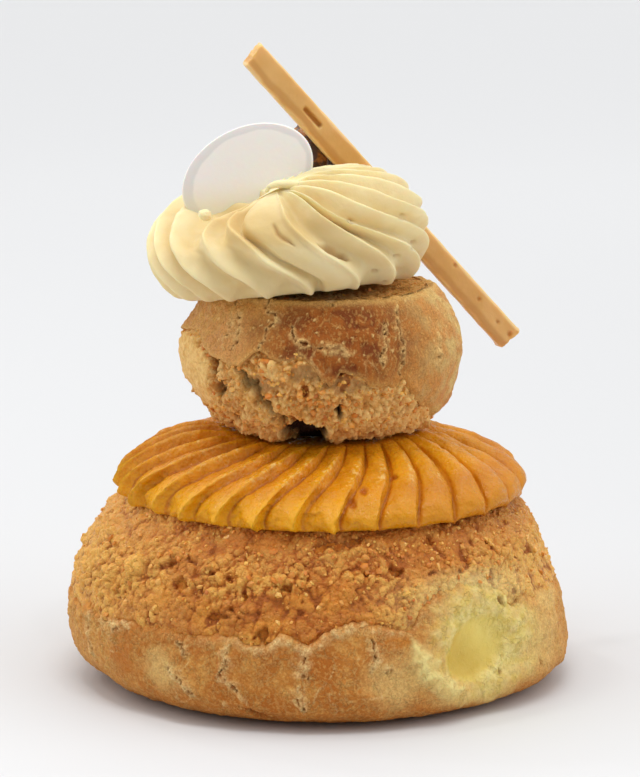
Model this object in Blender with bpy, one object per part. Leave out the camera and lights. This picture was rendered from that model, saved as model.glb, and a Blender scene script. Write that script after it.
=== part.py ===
"""A religieuse: a small choux bun standing on a large one.

A fluted orange cream collar lies between the buns. A piped cream rosette on top holds
an oval white disc, a caramel stick and a dark caramelised nut.

Units are metres. +Z is up, the front faces -Y, and the origin is the middle of the
large choux's flat underside.
"""

import math

import bmesh
import bpy
from mathutils import Matrix, Vector

MM = 0.001
WELD = 0.002 * MM             # points nearer than this are one point
GAP = 0.3 * MM                # air left between pieces that touch

# Large choux: a squat bun, flat underneath, with a crumbly crust over its upper part
LARGE_RADIUS = 37.6 * MM
LARGE_WIDEST = 8.5 * MM       # height of its widest ring
LARGE_FOOT = 23.2 * MM        # radius it stands on
LARGE_TOP = 35.4 * MM
LARGE_DOME_POWERS = (2.47, 2.20)
LARGE_BELLY_POWERS = (3.53, 3.86)
LARGE_STEPS = 60
CRUST_EDGE = 13.5 * MM        # height where the crumbly crust ends
CRUST_EDGE_WAVE = 1.6 * MM
CRUST_STEP = 0.7 * MM         # how far the crust stands proud of the plain choux
SHOULDER_LOW, SHOULDER_HIGH = 22.0 * MM, 27.5 * MM   # unevenness dies out between these
BROAD_WAVE, NARROW_WAVE = 0.35 * MM, 0.25 * MM    # three and five waves round the wall
LEFT_BULGE = 0.8 * MM
LEFT_BULGE_HALF_WIDTH = math.radians(45)
RIGHT_SLOPE_DEPTH = 1.6 * MM  # the right side slopes in more above its widest ring
RIGHT_SLOPE_ANGLE = math.radians(-8)
RIGHT_SLOPE_HALF_WIDTH = math.radians(38)
RIGHT_SLOPE_HEIGHT = 19.0 * MM
RIGHT_SLOPE_HALF_HEIGHT = 5.0 * MM
FOOT_SHIFT = 1.3 * MM         # the underside is rolled a little to the right

# Soft dent pressed into the front right of the large choux
DENT_ANGLE = math.radians(-51)
DENT_HEIGHT = 10.2 * MM
DENT_HALF_WIDTH = math.radians(10)
DENT_HALF_HEIGHT = 4.4 * MM
DENT_DEPTH = 2.4 * MM

# Collar: a cream cap over the large choux, with slanting flutes and a toothed rim
COLLAR_RADIUS = 31.0 * MM
COLLAR_RIM = 29.3 * MM        # height of the rim's widest line
COLLAR_TOP = 38.8 * MM
COLLAR_POWERS = (1.92, 1.78)
COLLAR_UNDERSIDE_RADIUS = 28.9 * MM
FLUTES = 32
STEPS_PER_FLUTE = 4
FLUTE_DEPTH = 1.1 * MM
FLUTE_SWIRL = math.radians(38)    # turn of a flute from the rim to the middle
FLUTE_SKEW = 0.6                  # below 1 puts the crest near the flute's first side
FLUTE_MEAN = 0.55                 # part of a flute's height below the plain surface
RIM_TOOTH = 1.3 * MM
TOOTHED_SIDE = math.radians(-135) # the rim's teeth are longest here
COLLAR_X = 0.6 * MM
COLLAR_LIFT = 0.6 * MM            # the rim's rise on the right, the shoulder's on the left
RIM_HALF_WIDTH = 0.1              # as a share of the collar's radius
RIM_LIFT_HALF_WIDTH = math.radians(50)
SHOULDER_RADIUS, SHOULDER_HALF_WIDTH = 20.0 * MM, 6.0 * MM
SHOULDER_HALF_TURN = 0.8
FLUTE_WANDER, FLUTE_JITTER = 0.09, 0.05    # how unevenly the flutes are spaced, in radians
COLLAR_UNDER_POINTS = 4
COLLAR_EDGE_POINTS = 1
COLLAR_TOP_POINTS = 7
COLLAR_TOP_STARTS = (COLLAR_UNDER_POINTS + COLLAR_EDGE_POINTS + 0.5) / (
    COLLAR_UNDER_POINTS + COLLAR_EDGE_POINTS + COLLAR_TOP_POINTS)

# Small choux: baked flat on one side and stood on its head, so the flat side is on top
SMALL_X = 0.45 * MM
SMALL_RADIUS = 21.2 * MM
SMALL_WIDEST = 50.5 * MM
SMALL_BOTTOM = 37.6 * MM
SMALL_BOTTOM_RADIUS = 11.6 * MM
SMALL_TOP = 59.2 * MM
SMALL_TOP_RADIUS = 16.9 * MM
SMALL_SIDE_POWERS = (1.58, 1.37)
SMALL_UNDER_POWERS = (2.46, 1.91)
SMALL_STEPS = 60
SMALL_SLACK = 0.9 * MM        # it is less full high and low on its left side
SMALL_SLACK_HALF_TURN = 0.9
SMALL_SLACK_LOW, SMALL_SLACK_HIGH = (42.0 * MM, 47.0 * MM), (52.0 * MM, 57.0 * MM)
SMALL_WAVE = 0.25 * MM        # four waves round the wall, dying out below the top
SMALL_WAVE_ENDS = (54.0 * MM, 58.0 * MM)

# The collar is pressed flat where the small choux stands on it
SEAT_HEIGHT = SMALL_BOTTOM - GAP
SEAT_RADIUS = 15.5 * MM

# Torn crust low on the small choux's front left: two raised flakes and a crevice
CREVICE_ANGLE = math.radians(-144)
CREVICE_HALF_WIDTH = math.radians(6)
CREVICE_DEPTH = 2.6 * MM
FLAKE_HEIGHT = 1.0 * MM
FLAKE_HALF_WIDTH = math.radians(34)
TEAR_LOW, TEAR_HIGH = 41.0 * MM, 53.5 * MM

# Rosette: a ring of cream piped round and up to a hooked peak, leaning to the left
ROSETTE_CENTRE = Vector((-3.8 * MM, 0.0, 59.3 * MM))
ROSETTE_LEAN = math.radians(-7)
FOOT_LEAN_SHARE = 0.3         # the rosette's foot leans this much of that
ROSETTE_RADIUS = 20.6 * MM
ROSETTE_FOOT = 15.4 * MM
ROSETTE_WIDEST = 7.2 * MM     # heights here are above the rosette's own foot
ROSETTE_CREST = 16.3 * MM
ROSETTE_CREST_RADIUS = 9.5 * MM
ROSETTE_MIDDLE = 14.7 * MM
ROSETTE_SIDE_POWERS = (1.9, 1.9)
LEFT_DROOP = 1.6 * MM         # the cream hangs over the choux's rim on the left
LEFT_DROOP_HALF_TURN = 0.9
DIP_ANGLE = math.radians(-135)    # the crest sags in front of the disc
DIP_HALF_WIDTH = math.radians(32)
DIP_DEPTH = 2.6 * MM
RIDGES = 22
STEPS_PER_RIDGE = 4
RIDGE_HEIGHT = 1.3 * MM
RIDGE_TWIST = math.radians(-95)   # turn of a ridge from the foot to the peak
RIDGE_TWIST_GAIN = 0.45           # how much more they turn on the right
CREST_FLATTENING = 0.6            # how much less a ridge stands sideways on the crest
PEAK_RISE = 1.8 * MM
PEAK_REACH = Vector((-1.6 * MM, -6.0 * MM, 0.0))   # the peak bends left and forwards
PEAK_RADIUS = 2.2 * MM

# White disc: a thin oval plate leaning back, its lower edge sunk in the cream
DISC_CENTRE = Vector((-10.3 * MM, -3.4 * MM, 75.9 * MM))
DISC_HALF_LENGTH = 10.3 * MM
DISC_HALF_WIDTH = 7.2 * MM
DISC_THICKNESS = 1.3 * MM
DISC_SLOPE = math.radians(27)     # of its long axis above the level
DISC_LEAN = math.radians(10)
DISC_YAW = math.radians(-4)
DISC_EDGE = 0.3 * MM
DISC_STEPS = 48

# Caramel stick: a straight blond bar laid across the back of the rosette
STICK_UPPER_END = Vector((-10.0 * MM, 5.4 * MM, 93.6 * MM))
STICK_LOWER_END = Vector((30.0 * MM, 17.2 * MM, 48.1 * MM))
STICK_WIDTH = 4.1 * MM
STICK_THICKNESS = 3.0 * MM
STICK_ROLL = math.radians(8)
STICK_EDGE = 0.35 * MM
STICK_BREAK = 0.7 * MM            # slant of the broken upper end

# Dark nut: an angular caramelised lump pushed into the cream behind the disc
NUT_CENTRE = Vector((-0.9 * MM, 13.4 * MM, 76.0 * MM))
NUT_HALF_SIZES = Vector((5.0 * MM, 3.7 * MM, 6.2 * MM))
NUT_SIDES = 7                     # flat sides chopped off the lump
NUT_SIDE_TURN = math.radians(137)
NUT_CHOP = 0.84                   # how much of the reach is left at a flat side


def smooth(value, low, high):
    """0 below low, 1 above high, and an even S between."""
    t = min(max((value - low) / (high - low), 0.0), 1.0)
    return t * t * (3 - 2 * t)


def bump(value, centre, half_width):
    """1 at the centre, fading as a bell over the half width."""
    return math.exp(-((value - centre) / half_width) ** 2)


def turn_between(angle, centre):
    """The signed angle from centre to angle, the short way round."""
    return (angle - centre + math.pi) % math.tau - math.pi


def quarter(start, end, powers, count):
    """A superellipse quarter from its widest point, start, to end, as (radius, height).

    The first point is left out, so that quarters can follow one another.
    """
    points = []
    for step in range(1, count + 1):
        turn = step / count * math.pi / 2
        radius = end[0] + (start[0] - end[0]) * math.cos(turn) ** (2 / powers[0])
        height = start[1] + (end[1] - start[1]) * math.sin(turn) ** (2 / powers[1])
        points.append((radius, height))
    return points


def turned(outline, steps, reshape):
    """Spin an outline that runs up from axis to axis, then move each point.

    reshape takes (angle, radius, height, share of the outline's points passed) and
    returns a position.
    """
    bm = bmesh.new()
    passed = bm.verts.layers.float.new("passed")
    points = [bm.verts.new((radius, 0.0, height)) for radius, height in outline]
    for place, point in enumerate(points):
        point[passed] = place / (len(points) - 1)
    edges = [bm.edges.new(pair) for pair in zip(points, points[1:])]
    bmesh.ops.spin(bm, geom=points + edges, cent=(0, 0, 0), axis=(0, 0, 1),
                   dvec=(0, 0, 0), angle=math.tau, steps=steps, use_merge=True)
    bmesh.ops.remove_doubles(bm, verts=bm.verts[:], dist=WELD)
    bmesh.ops.recalc_face_normals(bm, faces=bm.faces[:])
    for vert in bm.verts:
        angle = math.atan2(vert.co.y, vert.co.x)
        vert.co = reshape(angle, vert.co.xy.length, vert.co.z, vert[passed])
    return bm


def polar(angle, radius, height):
    return Vector((radius * math.cos(angle), radius * math.sin(angle), height))


def material(name, colour, roughness):
    """A plain Principled material."""
    made = bpy.data.materials.new(name)
    made.use_nodes = True
    shader = made.node_tree.nodes["Principled BSDF"]
    shader.inputs["Base Color"].default_value = (*colour, 1.0)
    shader.inputs["Roughness"].default_value = roughness
    shader.inputs["Metallic"].default_value = 0.0
    return made


def add_piece(name, bm, finish=None):
    """Turn a bmesh into an object; one without a finish is a hidden cutter."""
    mesh = bpy.data.meshes.new(name)
    bm.to_mesh(mesh)
    bm.free()
    piece = bpy.data.objects.new(name, mesh)
    bpy.context.scene.collection.objects.link(piece)
    if finish is None:
        piece.hide_render = True
        piece.display_type = "WIRE"
    else:
        mesh.materials.append(finish)
        mesh.shade_smooth()
        mesh.set_sharp_from_angle(angle=math.radians(50))
    return piece


def large_outline():
    """The large choux's outline, from the middle of its underside to its top."""
    widest = (LARGE_RADIUS, LARGE_WIDEST)
    belly = quarter(widest, (LARGE_FOOT, 0.0), LARGE_BELLY_POWERS, 5)
    dome = quarter(widest, (0.0, LARGE_TOP), LARGE_DOME_POWERS, 10)
    return [(0.0, 0.0), *reversed(belly), widest, *dome]


def large_choux_point(angle, radius, height, passed):
    """The uneven wall: a crust that stops in a wavy edge, hollows, and the dent."""
    wall = radius / LARGE_RADIUS * (1 - smooth(height, SHOULDER_LOW, SHOULDER_HIGH))
    foot = smooth(height, 0.0, LARGE_WIDEST / 2)
    swell = BROAD_WAVE * math.cos(3 * angle + 1.0) + NARROW_WAVE * math.cos(5 * angle + 2.0)
    edge = CRUST_EDGE + CRUST_EDGE_WAVE * math.cos(2 * angle + 0.6)
    swell += CRUST_STEP * (smooth(height, edge - 1.5 * MM, edge + 1.5 * MM) - 0.5)
    swell += LEFT_BULGE * bump(turn_between(angle, math.pi), 0.0, LEFT_BULGE_HALF_WIDTH)
    right = bump(turn_between(angle, RIGHT_SLOPE_ANGLE), 0.0, RIGHT_SLOPE_HALF_WIDTH)
    swell -= RIGHT_SLOPE_DEPTH * right * bump(height, RIGHT_SLOPE_HEIGHT, RIGHT_SLOPE_HALF_HEIGHT)
    around = bump(turn_between(angle, DENT_ANGLE), 0.0, DENT_HALF_WIDTH)
    swell -= DENT_DEPTH * around * bump(height, DENT_HEIGHT, DENT_HALF_HEIGHT)
    rolled = FOOT_SHIFT * (1 - smooth(height, 0.0, LARGE_WIDEST))
    point = polar(angle, radius + swell * wall * foot, height)
    point.x += rolled * radius / LARGE_FOOT * smooth(radius, 0.0, LARGE_FOOT)
    return point


def make_large_choux():
    bm = turned(large_outline(), LARGE_STEPS, large_choux_point)
    return add_piece("large_choux", bm, material("baked_choux", (0.52, 0.26, 0.08), 0.7))


def collar_top_height(radius):
    """Height of the collar's smooth upper surface, before its flutes."""
    power_r, power_z = COLLAR_POWERS
    cosine = min(radius / COLLAR_RADIUS, 1.0) ** (power_r / 2)
    sine = math.sqrt(1 - cosine * cosine)
    return COLLAR_RIM + (COLLAR_TOP - COLLAR_RIM) * sine ** (2 / power_z)


def flute_profile(across):
    """Height over one flute: a sharp groove, a steep side, a round crest, a long fall."""
    return abs(math.sin(math.pi * across ** FLUTE_SKEW)) ** 0.8


def collar_point(angle, radius, height, passed):
    """Lay the flutes in the top and the teeth in the rim; the underside stays plain."""
    if passed < COLLAR_TOP_STARTS:
        return polar(angle, radius, height)
    inward = 1 - radius / COLLAR_RADIUS
    crest = flute_profile((angle / math.tau * FLUTES) % 1.0) - FLUTE_MEAN
    uneven = FLUTE_WANDER * math.sin(angle + 0.5) + FLUTE_JITTER * math.sin(3 * angle + 2.0)
    turn = angle + FLUTE_SWIRL * inward + uneven
    rim = bump(inward, 0.0, RIM_HALF_WIDTH)
    front_left = 0.6 + 0.4 * math.cos(turn - TOOTHED_SIDE)
    tooth = RIM_TOOTH * crest * rim * front_left
    rise = FLUTE_DEPTH * crest * smooth(radius, SEAT_RADIUS, SEAT_RADIUS + 3 * MM)
    rise += COLLAR_LIFT * rim * bump(turn_between(turn, 0.0), 0.0, RIM_LIFT_HALF_WIDTH)
    shoulder = bump(radius, SHOULDER_RADIUS, SHOULDER_HALF_WIDTH)
    shoulder *= bump(turn_between(turn, math.pi), 0.0, SHOULDER_HALF_TURN)
    rise += COLLAR_LIFT * shoulder
    level = min(height, SEAT_HEIGHT) if radius < SEAT_RADIUS else height
    point = polar(turn, radius + tooth + 0.5 * rise * rim, level + rise - 0.6 * tooth)
    point.x += COLLAR_X * smooth(radius, 0.0, SEAT_RADIUS)
    return point


def large_top_height(radius):
    """Height of the large choux's smooth dome."""
    power_r, power_z = LARGE_DOME_POWERS
    cosine = (radius / LARGE_RADIUS) ** (power_r / 2)
    sine = math.sqrt(1 - cosine * cosine)
    return LARGE_WIDEST + (LARGE_TOP - LARGE_WIDEST) * sine ** (2 / power_z)


def collar_outline():
    """From the middle of the underside, out along the choux, round the rim and back."""
    outline = []
    for step in range(COLLAR_UNDER_POINTS + 1):
        radius = COLLAR_UNDERSIDE_RADIUS * math.sin(step / COLLAR_UNDER_POINTS * math.pi / 2)
        outline.append((radius, large_top_height(radius) + 1.4 * GAP))
    under = outline[-1]
    rim = (COLLAR_RADIUS, COLLAR_RIM)
    middle = ((under[0] + rim[0]) / 2 + 0.35 * MM, (under[1] + rim[1]) / 2 - 0.35 * MM)
    outline += [middle, rim]
    for step in range(1, COLLAR_TOP_POINTS):
        radius = COLLAR_RADIUS * (1 - (step / (COLLAR_TOP_POINTS - 1)) ** 1.25)
        outline.append((radius, collar_top_height(radius)))
    return outline


def make_collar():
    bm = turned(collar_outline(), FLUTES * STEPS_PER_FLUTE, collar_point)
    return add_piece("orange_collar", bm, material("orange_cream", (0.64, 0.23, 0.02), 0.3))


def small_outline(extra):
    """The small choux's outline from its underside to its flat top, grown by extra."""
    bottom = SMALL_BOTTOM - extra
    top = SMALL_TOP + extra
    widest = (SMALL_RADIUS + extra, SMALL_WIDEST)
    under = quarter(widest, (SMALL_BOTTOM_RADIUS, bottom), SMALL_UNDER_POWERS, 6)
    side = quarter(widest, (SMALL_TOP_RADIUS + extra, top), SMALL_SIDE_POWERS, 4)
    return [(0.0, bottom), *reversed(under), widest, *side, (0.0, top)]


def small_choux_point(angle, radius, height, passed):
    """The torn lower crust: flakes raised on both sides of a crevice."""
    wall = smooth(radius, SMALL_BOTTOM_RADIUS, SMALL_TOP_RADIUS)
    torn = smooth(height, TEAR_LOW, TEAR_LOW + 3 * MM)
    torn *= 1 - smooth(height, TEAR_HIGH - 3 * MM, TEAR_HIGH)
    away = turn_between(angle, CREVICE_ANGLE)
    swell = FLAKE_HEIGHT * bump(away, 0.0, FLAKE_HALF_WIDTH)
    swell -= (CREVICE_DEPTH + FLAKE_HEIGHT) * bump(away, 0.0, CREVICE_HALF_WIDTH)
    swell = swell * torn
    swell += SMALL_WAVE * math.cos(4 * angle + 0.7) * (1 - smooth(height, *SMALL_WAVE_ENDS))
    low = 1 - smooth(height, *SMALL_SLACK_LOW)
    high = smooth(height, *SMALL_SLACK_HIGH)
    left = bump(turn_between(angle, math.pi), 0.0, SMALL_SLACK_HALF_TURN)
    swell -= SMALL_SLACK * left * (low + high)
    point = polar(angle, radius + swell * wall, height)
    point.x += SMALL_X
    return point


def make_small_choux():
    bm = turned(small_outline(0.0), SMALL_STEPS, small_choux_point)
    return add_piece("small_choux", bm, material("browned_choux", (0.40, 0.17, 0.05), 0.65))


def rosette_outline():
    """The rosette's outline, from its foot, over its crest, down into its middle."""
    widest = (ROSETTE_RADIUS, ROSETTE_WIDEST)
    below = quarter(widest, (ROSETTE_FOOT, 0.0), ROSETTE_SIDE_POWERS, 4)
    crest = (ROSETTE_CREST_RADIUS, ROSETTE_CREST)
    above = quarter(widest, crest, ROSETTE_SIDE_POWERS, 6)
    hollow = (ROSETTE_CREST_RADIUS / 2, (ROSETTE_CREST + ROSETTE_MIDDLE) / 2)
    return [(0.0, 0.0), *reversed(below), widest, *above, hollow, (0.0, ROSETTE_MIDDLE)]


def rosette_point(angle, radius, height, passed):
    """Ridges that climb round the rosette and meet at its peak."""
    across = (angle / math.tau * RIDGES) % 1.0
    ridge = abs(math.sin(math.pi * across)) - 0.5
    outside = smooth(radius, 1.5 * MM, 8 * MM) * smooth(height, 0.0, 2.5 * MM)
    climb = smooth(passed, 0.1, 1.0)
    turn = RIDGE_TWIST * climb * (1 + RIDGE_TWIST_GAIN * math.cos(angle + RIDGE_TWIST * climb))
    upward = smooth(height, ROSETTE_WIDEST, ROSETTE_CREST)
    lift = RIDGE_HEIGHT * ridge * outside
    peak = PEAK_RISE * bump(radius, 0.0, PEAK_RADIUS) * upward
    out = lift * (1 - CREST_FLATTENING * upward)
    point = polar(angle + turn, radius + out, height + lift * upward + peak)
    point += PEAK_REACH * upward * (1 - smooth(radius, 0.0, ROSETTE_CREST_RADIUS))
    raised = smooth(height, 0.0, ROSETTE_WIDEST)
    facing = math.atan2(point.y, point.x)
    left = bump(turn_between(facing, math.pi), 0.0, LEFT_DROOP_HALF_TURN)
    point.z -= LEFT_DROOP * (1 - raised) * left
    dip = bump(turn_between(facing, DIP_ANGLE), 0.0, DIP_HALF_WIDTH)
    point.z -= DIP_DEPTH * dip * upward * smooth(radius, 2 * MM, 8 * MM)
    lean = ROSETTE_LEAN * (FOOT_LEAN_SHARE + (1 - FOOT_LEAN_SHARE) * raised)
    return Matrix.Rotation(lean, 3, "Y") @ point + ROSETTE_CENTRE


def disc_frame():
    """Axes of the disc: x along its length, y up its face, z out of its front."""
    upright = Matrix.Rotation(math.pi / 2, 4, "X") @ Matrix.Rotation(DISC_SLOPE, 4, "Z")
    lean = Matrix.Rotation(-DISC_LEAN, 4, "X")
    yaw = Matrix.Rotation(DISC_YAW, 4, "Z")
    return Matrix.Translation(DISC_CENTRE) @ yaw @ lean @ upright


def disc_mesh(extra):
    """An oval plate with softened rims, grown by extra on every side."""
    bm = bmesh.new()
    bmesh.ops.create_circle(bm, cap_ends=True, segments=DISC_STEPS, radius=1.0)
    length = DISC_HALF_LENGTH + extra
    width = DISC_HALF_WIDTH + extra
    bmesh.ops.scale(bm, vec=(length, width, 1.0), verts=bm.verts[:])
    thickness = DISC_THICKNESS + 2 * extra
    bmesh.ops.translate(bm, vec=(0, 0, -thickness / 2), verts=bm.verts[:])
    grown = bmesh.ops.extrude_face_region(bm, geom=bm.faces[:])["geom"]
    raised = [item for item in grown if isinstance(item, bmesh.types.BMVert)]
    bmesh.ops.translate(bm, vec=(0, 0, thickness), verts=raised)
    rims = [edge for edge in bm.edges if abs(edge.verts[0].co.z - edge.verts[1].co.z) < WELD]
    bmesh.ops.bevel(bm, geom=rims, offset=DISC_EDGE, offset_type="OFFSET", segments=2,
                    profile=0.5, affect="EDGES", material=-1)
    bmesh.ops.recalc_face_normals(bm, faces=bm.faces[:])
    bmesh.ops.transform(bm, matrix=disc_frame(), verts=bm.verts[:])
    return bm


def make_disc():
    return add_piece("white_disc", disc_mesh(0.0), material("white_sugar", (0.80, 0.77, 0.68), 0.45))


def stick_frame():
    """Axes of the stick: z from its lower end to its upper end, -y towards the front."""
    along = (STICK_UPPER_END - STICK_LOWER_END).normalized()
    across = Vector((0, 1, 0)).cross(along).normalized()
    back = along.cross(across)
    axes = Matrix((across, back, along)).transposed().to_4x4()
    middle = (STICK_UPPER_END + STICK_LOWER_END) / 2
    return Matrix.Translation(middle) @ axes @ Matrix.Rotation(STICK_ROLL, 4, "Z")


def stick_mesh(extra):
    """A straight bar with soft edges and a slanting break at its upper end."""
    length = (STICK_UPPER_END - STICK_LOWER_END).length + 2 * extra
    bm = bmesh.new()
    bmesh.ops.create_cube(bm, size=1.0)
    size = (STICK_WIDTH + 2 * extra, STICK_THICKNESS + 2 * extra, length)
    bmesh.ops.scale(bm, vec=size, verts=bm.verts[:])
    for vert in bm.verts:
        if vert.co.z > 0 and vert.co.x < 0:
            vert.co.z -= STICK_BREAK
    bmesh.ops.bevel(bm, geom=bm.edges[:], offset=STICK_EDGE, offset_type="OFFSET",
                    segments=2, profile=0.5, affect="EDGES", material=-1)
    bmesh.ops.transform(bm, matrix=stick_frame(), verts=bm.verts[:])
    return bm


def make_stick():
    return add_piece("caramel_stick", stick_mesh(0.0), material("blond_caramel", (0.58, 0.29, 0.09), 0.4))


def nut_mesh(extra):
    """A lump cut to blunt flat sides, grown by extra on every side."""
    bm = bmesh.new()
    bmesh.ops.create_icosphere(bm, subdivisions=2, radius=1.0)
    size = Vector(half + extra for half in NUT_HALF_SIZES)
    bmesh.ops.scale(bm, vec=size, verts=bm.verts[:])
    for side in range(NUT_SIDES):
        turn = side * NUT_SIDE_TURN
        rise = math.sin(2.1 * turn)
        facing = Vector((math.cos(turn), math.sin(turn), rise)).normalized()
        reach = Vector(a * b for a, b in zip(facing, size)).length
        bmesh.ops.bisect_plane(bm, geom=bm.verts[:] + bm.edges[:] + bm.faces[:],
                               dist=WELD, plane_co=facing * reach * NUT_CHOP,
                               plane_no=facing, clear_outer=True)
        bmesh.ops.holes_fill(bm, edges=[edge for edge in bm.edges if edge.is_boundary])
    bmesh.ops.remove_doubles(bm, verts=bm.verts[:], dist=WELD)
    bmesh.ops.translate(bm, vec=NUT_CENTRE, verts=bm.verts[:])
    bmesh.ops.recalc_face_normals(bm, faces=bm.faces[:])
    return bm


def make_nut():
    return add_piece("dark_nut", nut_mesh(0.0), material("burnt_caramel", (0.05, 0.02, 0.01), 0.25))


def cut_away(piece, cutter):
    """Take the cutter's shape out of the piece."""
    cut = piece.modifiers.new("clear of " + cutter.name, "BOOLEAN")
    cut.operation = "DIFFERENCE"
    cut.solver = "EXACT"
    cut.object = cutter


def make_rosette():
    """The cream, cut clear of the choux it sits on and of all that is stuck in it."""
    steps = RIDGES * STEPS_PER_RIDGE
    bm = turned(rosette_outline(), steps, rosette_point)
    rosette = add_piece("cream_rosette", bm, material("pale_cream", (0.80, 0.64, 0.33), 0.5))
    choux_room = turned(small_outline(GAP), SMALL_STEPS, small_choux_point)
    cut_away(rosette, add_piece("room_for_small_choux", choux_room))
    cut_away(rosette, add_piece("room_for_disc", disc_mesh(GAP)))
    cut_away(rosette, add_piece("room_for_stick", stick_mesh(GAP)))
    cut_away(rosette, add_piece("room_for_nut", nut_mesh(GAP)))
    return rosette


def main():
    for old in list(bpy.data.objects):
        bpy.data.objects.remove(old)
    make_large_choux()
    make_collar()
    make_small_choux()
    make_disc()
    make_stick()
    make_nut()
    make_rosette()


main()
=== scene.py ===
"""The finished surfaces of a religieuse, built over its solid pieces.

A small choux bun stands on its head on a large one, with a fluted collar of orange
cream between them. A piped cream rosette on top holds an oval white disc, a caramel
stick and a dark caramelised nut. The file is laid out as an add-on, and running it
builds every piece. Units are metres, +Z is up and the front faces -Y.
"""

import math

import bmesh
import bpy
import numpy as np
from bpy.props import FloatProperty, FloatVectorProperty, IntProperty, PointerProperty
from mathutils import Matrix, Vector, noise


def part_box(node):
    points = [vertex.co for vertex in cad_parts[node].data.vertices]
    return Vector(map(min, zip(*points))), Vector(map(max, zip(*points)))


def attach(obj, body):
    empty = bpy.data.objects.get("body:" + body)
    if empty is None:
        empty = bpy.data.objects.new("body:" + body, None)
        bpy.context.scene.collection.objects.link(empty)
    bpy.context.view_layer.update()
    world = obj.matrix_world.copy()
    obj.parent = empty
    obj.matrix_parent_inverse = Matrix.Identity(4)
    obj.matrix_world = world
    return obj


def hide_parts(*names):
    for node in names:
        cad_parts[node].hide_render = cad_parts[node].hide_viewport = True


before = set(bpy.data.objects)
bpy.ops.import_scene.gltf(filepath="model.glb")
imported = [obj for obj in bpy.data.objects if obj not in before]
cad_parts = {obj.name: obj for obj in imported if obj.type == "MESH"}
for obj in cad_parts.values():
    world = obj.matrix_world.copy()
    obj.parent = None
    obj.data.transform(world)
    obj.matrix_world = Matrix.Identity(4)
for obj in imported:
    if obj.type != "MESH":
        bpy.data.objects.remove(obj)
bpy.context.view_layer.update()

bl_info = {
    "name": "Religieuse",
    "version": (1, 0, 0),
    "blender": (4, 5, 0),
    "location": "3D View > Sidebar > Religieuse",
    "description": "Finished buns, creams and garnish of a religieuse",
    "category": "Object",
}

MM = 0.001
WELD = 0.002 * MM             # points nearer than this are one point
WEDGES = 12                   # a turned surface is made in this many like parts
BODY = "root"

# Large choux: a squat bun with a crumbly crust over its upper part
LARGE_RADIUS = 37.6 * MM
LARGE_WIDEST = 8.5 * MM       # height of its widest ring
LARGE_FOOT = 23.2 * MM        # radius it stands on
LARGE_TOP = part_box("large_choux")[1].z
LARGE_DOME_POWERS = (2.47, 2.20)
LARGE_BELLY_POWERS = (3.53, 3.86)
CRUST_EDGE = 14.3 * MM        # mean height where the crumbly crust ends
CRUST_EDGE_PLACES = ((0, 14.5), (60, 14.0), (120, 14.5), (180, 13.5), (212, 12.6), (223, 13.4),
                     (244, 13.0), (252, 13.6), (256, 12.4), (259, 12.9), (262, 14.2), (265, 13.5),
                     (268, 12.7), (271, 14.1), (275, 15.2), (279, 15.7), (285, 15.1), (291, 14.3),
                     (295, 17.2), (300, 19.0), (308, 19.3), (315, 17.8), (325, 15.8),
                     (360, 14.5))     # degrees, mm up
CRUST_STEP = 0.12 * MM        # how far the crust stands proud of the mean wall
SHOULDER_LOW, SHOULDER_HIGH = 22.0 * MM, 27.5 * MM   # unevenness dies out between these
COVERED_HEIGHT = 30.0 * MM    # the collar hides the large choux above this

# Soft dent low on the front right of the large choux, longest from low left to high right
DENT_ANGLE = math.radians(-50)
DENT_HEIGHT = 10.2 * MM
DENT_HALF_LENGTH = 6.2 * MM
DENT_HALF_WIDTH = 3.9 * MM
DENT_TILT = math.radians(27)
DENT_DEPTH = 1.0 * MM
BOWL_HALF_SIZE = 8.0 * MM     # the shallow pale bowl round the dent
BOWL_DEPTH = 1.5 * MM

# Marks on the large choux, in degrees round it and millimetres up
WALL_STRETCH = (LARGE_RADIUS / MM * math.pi / 180, 1)   # makes degrees as long as millimetres
WALL_CRACKS = (((-109.2, 13.2), (-110.4, 11.2), (-109.8, 9.6), (-111.4, 8.4), (-109.0, 6.8),
                (-107.0, 4.4)),
               ((-93.4, 12.9), (-92.4, 11.2), (-93.4, 9.6), (-92.0, 8.0)), ((-94.0, 7.3), (-95.2, 3.4)),
               ((-124.5, 8.6), (-121.5, 6.2), (-118.5, 4.4)), ((-122.0, 12.6), (-120.0, 10.4)),
               ((-152.0, 13.0), (-152.5, 10.0), (-151.5, 5.5)),
               ((-78.5, 13.8), (-76.5, 11.4), (-78.0, 9.0)),
               ((-148.0, 12.8), (-141.0, 12.2), (-136.0, 13.2)), ((-73.4, 10.0), (-74.0, 8.8)),
               ((140, 13.0), (137, 10.0), (139, 6.0)), ((60, 13.0), (63, 10.5), (60, 7.5)))
WALL_HOLES = ((-106.4, 2.6, (0.9, 0.7), 0.7), (-37.6, 16.1, (0.8, 0.8), 0.9),
              (-42.0, 16.0, (0.6, 0.6), 0.8), (-31.5, 5.6, (0.3, 0.5), 0.5),
              (-44.5, 6.4, (0.3, 0.4), 0.5))
DENT_RIM = ((-68.5, 13.6), (-67.0, 11.0), (-65.0, 8.0), (-61.5, 5.6), (-56.0, 4.8))
BROWN_PLACES = ((-139, 8.2, (2.2, 2.4)), (-138, 12.4, (3.4, 1.6), 0.8))
ORANGE_PLACES = ((-71.5, 13.5, (2.0, 0.5), 0.8),)
# Paler spots on the wall: partly pale crumb, partly painted light round the dent
LIGHT_PLACES = ((-73.5, 7.0, (3.6, 3.6)), (-127.0, 7.8, (3.0, 3.0)), (-33.0, 9.0, (8.0, 4.6)),
                (-53.0, 3.6, (7.0, 1.6)), (-23.0, 15.0, (5.0, 3.0)))
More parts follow.
